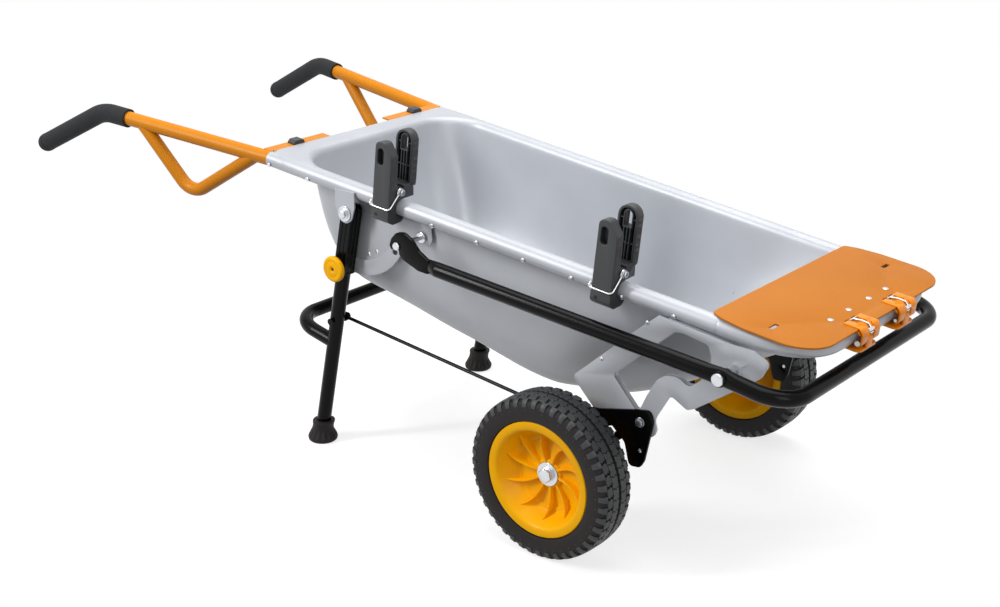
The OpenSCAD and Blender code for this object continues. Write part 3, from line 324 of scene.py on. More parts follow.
def rounded(corners, bend, steps=6):
    """An open path through corners, with each inner corner rounded by an arc of its own radius."""
    bends = bend if isinstance(bend, (list, tuple)) else [bend] * len(corners)
    path = [corners[0]]
    for i in range(1, len(corners) - 1):
        here, before, after = corners[i], corners[i - 1], corners[i + 1]
        back, on = (before - here).normalized(), (after - here).normalized()
        half = back.angle(on) / 2
        cut = min(bends[i] / math.tan(half), (before - here).length * 0.49, (after - here).length * 0.49)
        size = cut * math.tan(half)
        centre = here + (back + on).normalized() * size / math.sin(half)
        first, last = here + back * cut - centre, here + on * cut - centre
        for k in range(steps + 1):
            path.append(centre + first.slerp(last, k / steps).normalized() * size if size > 1e-6 else here)
    return path + [corners[-1]]


def outline(corners, bend, steps=5):
    """A closed outline in two dimensions, with rounded corners."""
    points = [Vector((c[0], c[1], 0)) for c in corners]
    bends = list(bend) if isinstance(bend, (list, tuple)) else [bend] * len(points)
    loop = rounded([points[-1]] + points + [points[0]], [0] + bends + [0], steps)
    return [Vector((p.x, p.y)) for p in loop[1:-1]]


def spaced(loop, count):
    """Points spread evenly along a closed outline."""
    lengths = [0.0]
    for a, b in zip(loop, loop[1:] + loop[:1]):
        lengths.append(lengths[-1] + (b - a).length)
    result, k = [], 0
    for i in range(count):
        want = lengths[-1] * i / count
        while lengths[k + 1] < want:
            k += 1
        part = (want - lengths[k]) / max(lengths[k + 1] - lengths[k], 1e-9)
        result.append(loop[k].lerp(loop[(k + 1) % len(loop)], part))
    return result


def plate(loop, low, high, place):
    """A plate cut to a closed outline; place turns (a, b, height) into a point."""
    return loft([[place(p.x, p.y, h) for p in loop] for h in (low, high)], caps=(0, -1))


def holed(outer, inner, low, high, place):
    """A plate with one hole; both outlines have the same count and start side by side."""
    rings = [(outer, low), (outer, high), (inner, high), (inner, low), (outer, low)]
    return sewn(loft([[place(p.x, p.y, h) for p in loop] for loop, h in rings]))


def offset(loop, by):
    """A closed outline moved outwards."""
    turn = sum(a.x * b.y - b.x * a.y for a, b in zip(loop, loop[1:] + loop[:1]))
    result = []
    for before, here, after in zip(loop[-1:] + loop[:-1], loop, loop[1:] + loop[:1]):
        way = (after - before).normalized()
        result.append(here + Vector((way.y, -way.x)) * by * (1 if turn > 0 else -1))
    return result


def disc(x, y, radius, count=24):
    """A round outline."""
    return [Vector((x + radius * math.cos(a), y + radius * math.sin(a))) for a in turns(count)]


def sheet(outer, holes, low, high, place):
    """A plate of any outline with any number of holes; place turns (a, b, height) into a point."""
    mesh = bmesh.new()
    for loop in [outer] + list(holes):
        ring = bmesh.ops.create_circle(mesh, segments=len(loop), radius=1)["verts"]
        for vert, point in zip(ring, loop):
            vert.co = (point.x, point.y, 0)
    bmesh.ops.triangle_fill(mesh, edges=mesh.edges, use_beauty=True)
    moved = bmesh.ops.extrude_face_region(mesh, geom=mesh.faces[:])["geom"]
    for vert in (part for part in moved if isinstance(part, bmesh.types.BMVert)):
        vert.co.z = 1
    for vert in mesh.verts:
        vert.co = place(vert.co.x, vert.co.y, low + (high - low) * vert.co.z)
    bmesh.ops.recalc_face_normals(mesh, faces=mesh.faces)
    return mesh


def soften(mesh, width, angle=30, segments=2):
    """Rounds every edge sharper than an angle."""
    sharp = [e for e in mesh.edges if len(e.link_faces) == 2 and e.calc_face_angle(0) > math.radians(angle)]
    bmesh.ops.bevel(mesh, geom=sharp, offset=width, segments=segments, profile=0.5, affect="EDGES",
                    material=-1, clamp_overlap=True)
    return mesh


def join(*meshes):
    """Several meshes as one."""
    whole = bmesh.new()
    for mesh in meshes:
        data = bpy.data.meshes.new("part")
        mesh.to_mesh(data)
        mesh.free()
        whole.from_mesh(data)
        bpy.data.meshes.remove(data)
    return whole


def block(low, high, soft=0.0):
    """A box between two corners."""
    mesh = bmesh.new()
    bmesh.ops.create_cube(mesh, size=1)
    low, high = Vector(low), Vector(high)
    for vert in mesh.verts:
        vert.co = low + Vector([(high[i] - low[i]) * (vert.co[i] + 0.5) for i in range(3)])
    return soften(mesh, soft) if soft else mesh


def piece(name, mesh, material, body, nodes_replaced=(), sharp=32, own=None, subdivide=0,
          solid=0.0):
    """Turns a mesh, in its own frame if it has one, into a named piece that rides on a body."""
    if own:
        mesh.transform(own)
    if not solid:
        bmesh.ops.recalc_face_normals(mesh, faces=mesh.faces)
    data = bpy.data.meshes.new(name)
    mesh.to_mesh(data)
    mesh.free()
    data.materials.append(material)
    data.shade_smooth()
    data.set_sharp_from_angle(angle=math.radians(sharp))
    thing = bpy.data.objects.new(name, data)
    bpy.context.collection.objects.link(thing)
    if solid:
        shell = thing.modifiers.new("sheet", "SOLIDIFY")
        shell.thickness = solid
        shell.offset = -1
    if subdivide:
        surface = thing.modifiers.new("smooth", "SUBSURF")
        surface.levels = surface.render_levels = subdivide
    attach(thing, body)
    if nodes_replaced:
        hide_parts(*nodes_replaced)
    return thing


def hexagon(seat, axis, across_flats, height):
    """A hexagon bolt head with a chamfered top, in millimetres at a place in metres."""
    corner = across_flats * MM / math.sqrt(3)
    top = height * MM
    profile = [(0, corner), (top - 1.0 * MM, corner), (top, corner - 1.2 * MM)]
    return soften(turned(profile, seat, axis, 6), 0.25 * MM, 20, 1)



# ---------------------------------------------------------------- tub
REAR, FRONT = -640.0, 362.0          # ends of the rim tubes along the rim
REAR_HALF, FRONT_HALF = 212.8, 185.4  # half width between the rim tubes' axes
ROLL = 13.75                          # radius of the sheet rolled over the rim tube
REAR_STRIP = -637.0                   # where the rolled edge stops at the flat strips behind the tub
JOINT = 227.0                         # where the nose tube goes into the side tubes


def rim_half(x):
    return REAR_HALF + (FRONT_HALF - REAR_HALF) * (x - REAR) / (FRONT - REAR)


def smooth(low, high, x):
    t = min(max((x - low) / (high - low), 0), 1)
    return t * t * (3 - 2 * t)


def tub_section():
    """Half of the mouth's outline with, at each point, where its wall ends on the floor."""
    mouth_rear, mouth_front, rear_bend, front_bend = -600.0, 348.0, 74.0, 62.0
    foot_rear, foot_half, foot_bend = -428.0, 44.0, 26.0
    first, last = mouth_rear + rear_bend, mouth_front - front_bend
    length = last - first
    wide, narrow = rim_half(first) - ROLL, rim_half(last) - ROLL
    points = [(mouth_rear, (wide - rear_bend) * i / 8, 0.0, (foot_rear, foot_half * i / 8)) for i in range(8)]
    for i in range(14):
        a = math.radians(90 * i / 14)
        points.append((first - rear_bend * math.cos(a), wide - rear_bend + rear_bend * math.sin(a),
                       math.degrees(a), (foot_rear + foot_bend - foot_bend * math.cos(a),
                                         foot_half + foot_bend * math.sin(a))))
    # more columns close to the joint of the rim tubes, where the rolled edge has a seam
    joint = (JOINT - first) / length
    marks = [i / 34 for i in range(34) if abs(i / 34 - joint) > 0.006]
    marks += [joint + d / length for d in (-1.2, -0.6, 0.6, 1.2)]
    for m in sorted(marks):
        x = first + length * m
        points.append((x, rim_half(x) - ROLL, 90.0, (-402 + 318 * m, 70.0 - 4 * m)))
    for i in range(10):
        a = math.radians(90 * i / 10)
        points.append((last + front_bend * math.sin(a), narrow - front_bend + front_bend * math.cos(a),
                       90 + math.degrees(a), (-84 + foot_bend * math.sin(a), 40 + foot_bend * math.cos(a))))
    return points + [(mouth_front, (narrow - front_bend) * (1 - i / 7), 180.0, (-58.0, 40 * (1 - i / 7)))
                     for i in range(8)]


def floor_depth(x):
    """Depth of the floor below the rim's plane."""
    marks = [(-470, 186), (-442, 194), (-366, 208), (-277, 221), (-180, 245), (-110, 250), (-40, 247)]
    for (x0, d0), (x1, d1) in zip(marks, marks[1:]):
        if x <= x1:
            return d0 + (d1 - d0) * (x - x0) / (x1 - x0)
    return marks[-1][1]


def bezier(controls, t):
    while len(controls) > 1:
        controls = [(a[0] + (b[0] - a[0]) * t, a[1] + (b[1] - a[1]) * t)
                    for a, b in zip(controls, controls[1:])]
    return controls[0]


def tub_skin():
    columns = []
    for x, y, turn, foot in tub_section():
        # how much this place belongs to the rear wall, the sides and the long front slope
        back = 1 - smooth(20, 80, turn)
        ramp = smooth(-90, 330, x)
        deep = smooth(-460, -220, x)
        side = (1 - back) * (1 - ramp)
        slope = (1 - back) * ramp
        # the wall's curve, as (share of the way out from its foot, share of the depth)
        wall = [(1, 0),
                (0.90 * back + 0.94 * side + 0.77 * slope, 0.36 * back + 0.46 * side + 0.24 * slope),
                (0.64 * back + (0.80 + 0.06 * deep) * side + 0.51 * slope,
                 0.90 * back + 0.98 * side + 0.62 * slope),
                (0.30 * back + (0.46 + 0.16 * deep) * side + 0.20 * slope, 1.0),
                (0.0, 1.0)]
        # the rolled edge: from its lower outer edge, over the rim tube, to the mouth
        angle = math.radians(turn)
        outward = Vector((-math.cos(angle), math.sin(angle), 0))
        mouth = Vector((x, y, 0))
        crest = mouth + outward * ROLL + Z * ROLL
        edge = crest.copy()
        fold, lip = ROLL, 0.0
        if turn < 90:
            reach_rear = (x - REAR_STRIP) / max(math.cos(angle), 1e-6)
            reach_side = (rim_half(x) - y) / max(math.sin(angle), 1e-6)
            if reach_rear < reach_side:
                edge = Vector((REAR_STRIP, y + math.tan(angle) * (x - REAR_STRIP), ROLL))
                outward, fold, lip = -X, 3.0, 0.18
            else:
                edge = mouth + outward * reach_side
                edge.z = ROLL
                outward = Y
        elif abs(x - JOINT) < 1.0 and turn == 90:
            fold = ROLL - 0.7
        centre = Vector((edge.x, edge.y, ROLL - fold))
        column = []
        for degrees in (-50, -30, -8, 14, 36, 58, 76, 90):
            # a narrow fold ends in a straight lip instead of curling under
            a = math.radians(max(degrees, 0) if lip else degrees)
            up = fold * math.sin(a) + lip * min(degrees, 0)
            column.append(centre + outward * fold * math.cos(a) + Z * up)
        column += [edge.lerp(crest, part) for part in (0.35, 0.7)]
        pivot = Vector((crest.x, crest.y, 0))
        inward = (mouth - pivot).normalized()
        for degrees in (88, 66, 44, 22):
            a = math.radians(degrees)
            column.append(pivot + inward * ROLL * math.cos(a) + Z * ROLL * math.sin(a))
        depth = floor_depth(foot[0])
        for k in range(19):
            s, g = bezier(wall, (k / 18) ** 0.92)
            column.append(Vector((foot[0] + (x - foot[0]) * s, foot[1] + (y - foot[1]) * s, -depth * g)))
        for s in (0.66, 0.33):
            column.append(Vector((-250 + (foot[0] + 250) * (0.8 + 0.2 * s), foot[1] * s, -depth)))
        columns.append(column)
    other = [[Vector((p.x, -p.y, p.z)) for p in column] for column in columns[1:-1]]
    loop = columns + other[::-1]
    rings = [[column[k] for column in loop] for k in range(len(loop[0]))]
    mesh = loft(rings)
    bmesh.ops.holes_fill(mesh, edges=[e for e in mesh.edges if e.is_boundary
                                      and all(v.co.z < -100 for v in e.verts)], sides=0)
    bmesh.ops.recalc_face_normals(mesh, faces=mesh.faces)
    return mesh


piece("tub_skin", tub_skin(), silver, "frame", ("tub",), 75, RIM, 1, 1.2 * MM)


# ---------------------------------------------------------------- wheels
TREAD = 127.0          # radius over the tread
PITCHES = 44
PITCH = 2 * math.pi * TREAD / PITCHES


def crown(out):
    return TREAD - 0.1 - 3.1 * (abs(out) / 33) ** 3


def tread_block(spot, loop, shift, deep=3.4):
    """A tread block cut to an outline of (arc, out) in millimetres."""
    def place(arc, out, height):
        return spot(out, crown(out) + height, (arc + shift) / TREAD)

    rings = []
    centre = sum(loop, Vector((0, 0))) / len(loop)
    for height, shrink in ((-deep, 1.0), (-0.5, 1.0), (0.0, 0.93)):
        rings.append([place(*(centre + (p - centre) * shrink), height) for p in loop])
    return loft(rings, caps=(-1,))


def shoulder_lug(spot, low, high, sign):
    """A lug that wraps from the tread over the shoulder on to the sidewall."""
    rings = []
    for out, radius, deep in ((27.6, 125.1, 3.5), (30.4, 123.6, 3.5), (32.8, 120.6, 3.0),
                              (34.3, 116.6, 1.5), (34.5, 113.4, 0.3)):
        lean = (out - 27.6) / 7
        first, last = low + lean, high - lean
        base = (out - deep * (out - 27) / 9, radius - deep)
        rings.append([spot(sign * a, r, arc / TREAD) for a, r, arc in
                      ((*base, first), (out, radius - 0.4, first), (out, radius, first + 0.6),
                       (out, radius, last - 0.6), (out, radius - 0.4, last), (*base, last))])
    return loft(rings, caps=(0, -1))


def build_wheel(name, sign):
    centre = middle("tyre_" + name)
    axis = Vector((0, sign, 0))

    def spot(out, radius, angle):
        return centre + MM * Vector((radius * math.cos(angle), sign * out, radius * math.sin(angle)))

    def turn(profile, count=96):
        return ring_turned([(out * MM, radius * MM) for out, radius in profile], centre, axis, count)

    half = [(29.9, 90.5), (33.2, 91.6), (34.5, 94.5), (34.6, 104), (34.4, 110), (33.4, 116.2),
            (31.0, 120.3), (27.0, 121.9), (14.0, 123.4), (0.0, 123.7)]
    tyre = turn(half + [(-out, radius) for out, radius in half[-2::-1]] + [(-29.5, 87.0), (29.5, 87.0)], 132)
    zigzag = [(0.0, 0.0), (2.0, 3.4), (-1.3, 6.8), (1.9, 10.2), (0.3, 13.4)]
    lead = [Vector((a, 2.6 + b)) for a, b in zigzag]
    trail = [p + Vector((PITCH - 1.5, 0)) for p in reversed(lead)]
    mid = PITCH / 2
    notch = vectors((mid - 2.4, 16), (mid - 0.4, 14.2), (mid + 1.6, 16))
    inner = lead + notch + trail + vectors((mid + 1.5, 2.6), (mid - 0.5, 4.2), (mid - 2.5, 2.6))
    outer = vectors((0, 17.8), (1.6, 20.6), (-0.9, 23.2), (0.4, 26.4), (PITCH - 3.4, 26.4), (PITCH - 4.7, 23.2),
                    (PITCH - 2.2, 20.6), (PITCH - 3.8, 17.8), (mid - 1, 16.6))
    sector = []
    for side, inner_shift, outer_shift in ((1, 0, PITCH * 0.45), (-1, PITCH * 0.4, PITCH * 0.85)):
        for loop, shift in ((inner, inner_shift), (outer, outer_shift)):
            sector.append(tread_block(spot, [Vector((p.x, p.y * side)) for p in loop], shift))
        sector.append(shoulder_lug(spot, PITCH * 0.05, PITCH * 0.62, side))
        # a small raised tick on the sidewall
        tick = block((-0.5, -0.5, -0.5), (0.5, 0.5, 0.5))
        for vert in tick.verts:
            along, across, arc = vert.co
            vert.co = spot(side * (34.4 + 0.45 * across), 108.6 + 4.6 * along,
                           (PITCH * 0.3 + 0.9 * arc) / TREAD)
        sector.append(tick)
    tread = around(join(*sector), centre, axis, PITCHES)
    body = "road_wheel_" + name
    piece("tyre_skin_" + name, tyre, rubber, body, ("tyre_" + name,), sharp=40)
    piece("tyre_tread_" + name, tread, tread_rubber, body, sharp=30)

    face = [(29.4, 89.9), (31.3, 90.1), (32.5, 88.9), (32.75, 86.5), (32.4, 81.0), (31.7, 78.0),
            (30.2, 75.8), (27.6, 74.0), (20.0, 69.6), (12.0, 64.9), (5.2, 60.9), (3.4, 58.8), (2.9, 55.0),
            (2.6, 53.4), (1.0, 52.5), (0.3, 50.5), (-0.6, 26.0), (0.2, 23.6), (2.6, 22.6), (3.6, 21.4),
            (3.9, 19.5), (3.9, 6.4)]
    back = [(-39.6, 6.4), (-39.6, 17.0), (-12.0, 21.0), (-5.5, 24.0), (-4.0, 50.0), (-3.2, 57.0), (2.0, 64.0),
            (-22.0, 73.0), (-31.5, 76.4), (-32.6, 78.6), (-32.75, 86.5), (-31.3, 90.1), (-29.4, 89.9),
            (-27.6, 84.2), (27.6, 84.2)]
    dish = turn(face + back)
    # curved spokes, low near the hub and rising to the rim
    ribs = []
    for start in turns(10):
        rings = []
        for k in range(13):
            t = k / 12
            radius = 19.5 + 51.0 * t
            angle = start + sign * (0.10 + 0.26 * t * t - 0.05 * t)
            thick = (1.9 - 0.9 * t) / radius
            low = -3.0 + 4.0 * max(0, t - 0.62) / 0.38 + 18.5 * max(0, t - 0.74) / 0.26
            top = max(5.4 + 4.2 * math.sin(math.pi * t * 0.8) + 12.4 * t ** 3, low + 0.2)
            rings.append([spot(out, radius, angle + thick * share) for out, share in
                          ((low, -1.3), (top - 1.0, -1), (top, -0.45),
                           (top, 0.45), (top - 1.0, 1), (low, 1.3))])
        ribs.append(loft(rings, caps=(0, -1)))
    piece("wheel_dish_" + name, join(dish, *ribs), orange_plastic, body,
          ("wheel_" + name, "wheel_rim_" + name), sharp=38)

    # the fixed axle: shaft, spacer, broad washer and bolt head
    def along(at):
        return centre + axis * (at * MM - abs(centre.y))

    parts = [lathe([(0, 5.9), (76.0, 5.9)], along(204.4), axis, 24),
             lathe([(0, 11.9), (24.3, 11.9)], along(210.4), axis, 32),
             lathe([(0, 18.6), (1.5, 18.6), (2.0, 18.1), (2.0, 12)], along(280.0), axis, 48),
             lathe([(0, 11.7), (0.96, 11.7), (1.2, 11.4)], along(281.9), axis, 28),
             hexagon(along(283.1), axis, 20, 7.2)]
    piece("axle_bolt_" + name, join(*parts), zinc, "carrier_arm_" + name, ("axle_" + name,), sharp=30)


for name, sign in SIDES:
    build_wheel(name, sign)


# ---------------------------------------------------------------- tool clips
TAPER = math.atan((REAR_HALF - FRONT_HALF) / (FRONT - REAR))
BOLT = (9.0, 28.0)     # the clip's cross bolt in the clip's section
WIDE = 34.0            # the clip's width along the rim tube
WIRE, WIRE_GAP = 1.35, 2.0


def clip_frame(at):
    """The clip's own frame: x outwards, y up, z forward along the rim tube."""
    return RIM @ Matrix(((math.sin(TAPER), 0, math.cos(TAPER), at),
                         (-math.cos(TAPER), 0, math.sin(TAPER), -rim_half(at)),
                         (0, 1, 0, 0), (0, 0, 0, 1)))


def section(corners, bend, low, high, soft=1.2):
    """A block cut to an outline in the clip's section, from one side to the other."""
    mesh = plate(outline(corners, bend), low, high, plain)
    return soften(mesh, soft, 35) if soft else mesh


def arch(half, foot, top):
    """An arch outline standing on a foot, in the plane across the jaw."""
    mid, bend = WIDE / 2, half * 0.98
    return spaced(outline([(mid - half, foot), (mid + half, foot), (mid + half, top), (mid - half, top)],
                          [0.6, 0.6, bend, bend], 10), 56)


def across(low, high):
    """Places on a plate that stands across the jaw and is thick from low to high."""
    return lambda z, y, height: Vector((low + (high - low) * height, y, z))


def in_jaw(corners, bend, count):
    return spaced(outline(corners, bend, 8), count)


def build_clip(name, at):
    frame_of_clip = clip_frame(at)
    ring = [(14.1 * math.cos(math.radians(a)), 14.1 * math.sin(math.radians(a)))
            for a in range(-106, 91, 14)]
    base = section([(33, -0.7), (33, -17), (20, -25.2), (0, -24.4), (-5.2, -19.5)] + ring +
                   [(-2, 14.2), (-2, 20.4), (18.5, 20.4), (19.6, 9), (26.6, 6.5), (26.6, -0.7)],
                   [1.0, 8, 7, 8, 2] + [0.4] * len(ring) + [0.3, 0.3, 3, 3, 1, 0.4], 0, WIDE, 0.9)
    bridge = section([(-26.5, 14.2), (-1, 14.2), (-1, 37), (-24, 37)], [1.5, 0.4, 2, 1], 0, WIDE, 0.9)
    boss = section([(-2, 20), (16.2, 20), (16.2, 35.4), (-2, 35.4)], [1, 6, 7, 1], 11.6, 22.4, 0.5)
    # inner jaw: a shallow tray with an arched wall, a framed window and upright ribs
    wall = holed(arch(17, 30, 120), arch(13.4, 33, 116.2), 0, 1, across(-30.2, -15.2))
    soften(wall, 0.9, 40)
    floor = holed(arch(16.6, 31, 119.4), arch(5.8, 88, 111.6), 0, 1, across(-29.6, -26.4))
    frame_ring = holed(arch(8.2, 85.6, 114.0), arch(6.2, 87.6, 112.0), 0, 1, across(-29.5, -16.4))
    soften(frame_ring, 0.5, 40)
    ribs = [block((-28, 34, z - 0.8), (-16.6, 88, z + 0.8), 0.3) for z in (11.6, 17.0, 22.4)]
    ribs += [block((-28, 98.6, low), (-17.2, 100.2, high), 0.3) for low, high in ((4, 9.4), (24.6, 30))]
    ribs += [block((-28, 62.0, 3.2), (-17.8, 63.6, 30.8), 0.3)]
    hole = ring_turned([(0, 2.9), (-1.0, 3.5), (0.15, 4.1), (0.35, 3.6), (0.15, 2.9)],
                       Vector((32.9, -10.5, 9.5)), X, 24)
    piece("clip_base_skin_" + name, join(base, bridge, boss, wall, floor, frame_ring, *ribs, hole), black_nylon,
          "frame", ("clip_base_" + name,), 34, frame_of_clip)
    pit = turned([(0, 2.8), (0.28, 2.8)], Vector((32.95, -10.5, 9.5)), X, 24)
    piece("clip_base_hole_" + name, pit, shade, "frame", own=frame_of_clip)

    # outer jaw: a thick tapered tongue with a hollow high on its outer face
    bends = [2, 2, 40, 13, 9, 9]
    face = in_jaw([(0.2, 0.5), (33.6, 0.5), (33.8, 60), (33.0, 88), (17, 109.4), (0.2, 106.5)], bends, 72)
    hollow = in_jaw([(5.4, 71), (17.6, 71), (17.6, 97.5), (5.4, 97.5)], [5.2, 5.2, 6, 5.4], 72)
    start = min(range(72), key=lambda i: (hollow[i] - face[0]).length)
    hollow = hollow[start:] + hollow[:start]
    shell = holed(face, hollow, 0, 1, across(21.5, 33))
    soften(shell, 3.4, 50, 3)
    tongue = plate(in_jaw([(0.3, 37), (33.4, 37), (33.7, 60), (32.8, 88), (17, 108.8), (0.3, 106)], bends, 72),
                   0, 1, across(14.9, 22.4))
    soften(tongue, 1.2, 50)
    bottom = plate(in_jaw([(3.4, 68), (19.6, 68), (19.6, 100), (3.4, 100)], 5, 48), 0, 1, across(21.8, 22.6))
    foot = section([(27.8, 0.5), (32.6, 0.5), (32.6, 12), (27.8, 12)], 0.8, 0.4, WIDE - 0.4, 0)
    cheeks = [section([(27.6, 1.6), (30, 1.6), (30, 44), (15.2, 44), (15.2, 36), (9, 35), (2, 35), (2, 21),
                       (9, 21)], [1, 1, 1, 2, 2, 4, 6.9, 6.9, 3], a, b, 0.7)
              for a, b in ((0.3, 11.2), (22.8, 33.7))]
    seam = section([(20.5, 36), (25, 36), (25, 46), (20.5, 46)], 1, 1, 33, 0)
    body = "jaw_" + name
    piece("clip_jaw_skin_" + name, join(shell, tongue, bottom, foot, seam, *cheeks), black_nylon, body,
          ("clip_jaw_" + name,), 34, frame_of_clip)

    # the wire bail: eyes on the bolt, down both sides and along the seam, with a small hooked end
    low, high = -WIRE_GAP, WIDE + WIRE_GAP
    path = vectors((BOLT[0] + 2.6, BOLT[1] - 2.6, high), (31.2, 5.0, high), (34.0, 2.6, WIDE - WIRE_GAP),
                   (34.0, 2.6, WIRE_GAP), (31.2, 5.0, low), (BOLT[0] + 2.6, BOLT[1] - 2.6, low))
    wire = swept(rounded(path, 3.2, 5), WIRE, 12)
    eyes = [ring_turned([(WIRE * math.sin(a), 5.4 + WIRE * math.cos(a)) for a in turns(8)],
                        Vector((*BOLT, z)), Z, 28) for z in (low, high)]
    hook = vectors((33.6, 2.6, 3), (34.8, 2.8, -1.6), (33.8, 6.0, -3.2), (31.4, 10.5, -2.2))
    hook = swept(rounded(hook, 2.2, 4), 1.2, 10)
    piece("clip_bail_wire_" + name, join(wire, hook, *eyes), bright_wire, body,
          ("clip_bail_" + name,), 40, frame_of_clip)

    # the cross bolt: its shank, and at each end a washer and a nut
    parts = [turned([(0, 2.45), (WIDE + 8, 2.45)], Vector((*BOLT, -4)), Z, 20)]
    for z, way in ((WIDE + 3.4, Z), (-3.4, -Z)):
        seat = Vector((*BOLT, z))
        parts.append(turned([(0, 6.2), (1.0, 6.2), (1.4, 5.8)], seat, way, 28))
        parts.append(ring_turned([(1.2, 5.1), (4.4, 5.0), (5.0, 4.4), (5.0, 3.0), (3.2, 2.6), (1.2, 2.6)],
                                 seat, way, 28))
    whole = join(*parts)
    whole.transform(frame_of_clip)
    return whole


piece("clip_bolt_heads", join(build_clip("rear", -386.0), build_clip("front", 32.0)), zinc, "frame",
      ("clip_bolts",), sharp=34)


# ---------------------------------------------------------------- toe plate
TOE_LOW, TOE_TOP = 14.3, 16.8
HINGES = (57.0, -57.0)


toe = outline([(212, -190), (212, 190), (232, 199), (268, 205), (379, 205), (379, -205), (268, -205),
               (232, -199)], [9, 9, 30, 60, 66, 66, 60, 30], 14)
holes = []
for hinge in HINGES:
    for mid in (hinge - 9.54, hinge + 9.54):
        # the dark curved slots that each strap of the hinge rises through
        holes.append(outline([(352, mid - 5), (357, mid - 9), (360, mid - 8), (355.5, mid), (360, mid + 8),
                              (357, mid + 9), (352, mid + 5)], 1.2, 3))
    near, far = math.copysign(156, hinge), math.copysign(176, hinge)
    holes.append(outline([(291.5, near), (298.5, near), (298.5, far), (291.5, far)], 2.0, 4))
board = soften(sheet(toe, holes, TOE_LOW, TOE_TOP, plain), 0.7, 60)
# The toe board wears the toe coat, whose darker, browner colour is painted shade.
piece("toe_board", board, toe_shaded_coat, "nose", ("toe_plate",), 35, RIM)

details, steel = [], []
for hinge in HINGES:
    for shift in (-18, 18):
        # strap: from the plate over the front edge and round the pin
        path = vectors((356, 0, 17.9), (382.5, 0, 18.0), (387.2, 0, 12), (387.2, 0, -4), (382, 0, -8.2))
        path = rounded(path, [0, 6, 6, 6, 0], 5)
        rings = []
        for i, point in enumerate(path):
            way = (path[min(i + 1, len(path) - 1)] - path[max(i - 1, 0)]).normalized()
            thick = Vector((-way.z, 0, way.x)) * -1.1
            half = 8.4 if i > 2 else 6.6
            rings.append([point + thick * face + Y * (hinge + shift + half * side)
                          for face, side in ((1, -1), (1, 1), (-1, 1), (-1, -1))])
        details.append(soften(loft(rings, caps=(0, -1)), 0.5, 40))
        # round tab that stands on the strap
        lean = Vector((math.sin(math.radians(42)), math.copysign(0.25, shift), math.cos(math.radians(42))))
        details.append(turned([(-1.4, 10.6), (-0.9, 11.4), (0.9, 11.4), (1.4, 10.6)],
                              Vector((380.5, hinge + shift * 0.80, 14.0)), lean.normalized(), 32))
        # rivet behind it
        steel.append(turned([(0, 4.6), (0.6, 4.6), (1.1, 4.0), (1.4, 2.6)],
                            Vector((337, hinge + shift * 26.5 / 18, TOE_TOP)), Z, 24))
# The straps and tabs wear the hinge coat, whose brighter colour is painted light.
piece("toe_hinge_straps", join(*details), hinge_lit_coat, "nose", sharp=35, own=RIM)

for hinge in HINGES:
    # sprung wire catch: a cross bar, a tongue over the front edge and a pale rounded end
    bar = vectors((357, hinge - 10, 17.9), (357, hinge + 10, 17.9))
    tongue = vectors((357, hinge, 18.0), (370, hinge, 20.2), (381.5, hinge, 19.4), (386.0, hinge, 14.5))
    steel += [swept(path, 1.3, 12) for path in (bar, rounded(tongue, 4, 5))]
    steel.append(turned([(-7, 1.2), (-6.2, 2.2), (-2.4, 2.6), (2.4, 2.6), (6.2, 2.2), (7, 1.2)],
                        Vector((386.4, hinge, 13.6)), Y, 20))
piece("toe_catches", join(*steel), bright_wire, "nose", ("toe_latch",), 35, RIM)

leaves = []
for hinge in HINGES:
    leaf = outline([(354, hinge - 27), (388, hinge - 27), (388, hinge + 27), (354, hinge + 27)],
                   [2, 8, 8, 2], 5)
    leaves.append(soften(sheet(leaf, [], -16.0, -13.0, plain), 0.6, 40))
    leaves.append(turned([(-8.4, 5.0), (-7.8, 5.5), (7.8, 5.5), (8.4, 5.0)], Vector((382.8, hinge, -2)), Y, 32))
    leaves.append(block((385.3, hinge - 8.4, -15), (388.3, hinge + 8.4, -1.5), 0.5))
# The leaves wear the same hinge coat, with its painted light.
piece("toe_hinge_skin", join(*leaves), hinge_lit_coat, "frame", ("toe_hinge_leaves",), 35, RIM)


# ---------------------------------------------------------------- legs
LEG_PIVOT = Vector((-456.0, 427.0))
LEAN = math.radians(12.07)
LEG_HALF, HANGER_FACE = 209.6, 225.4


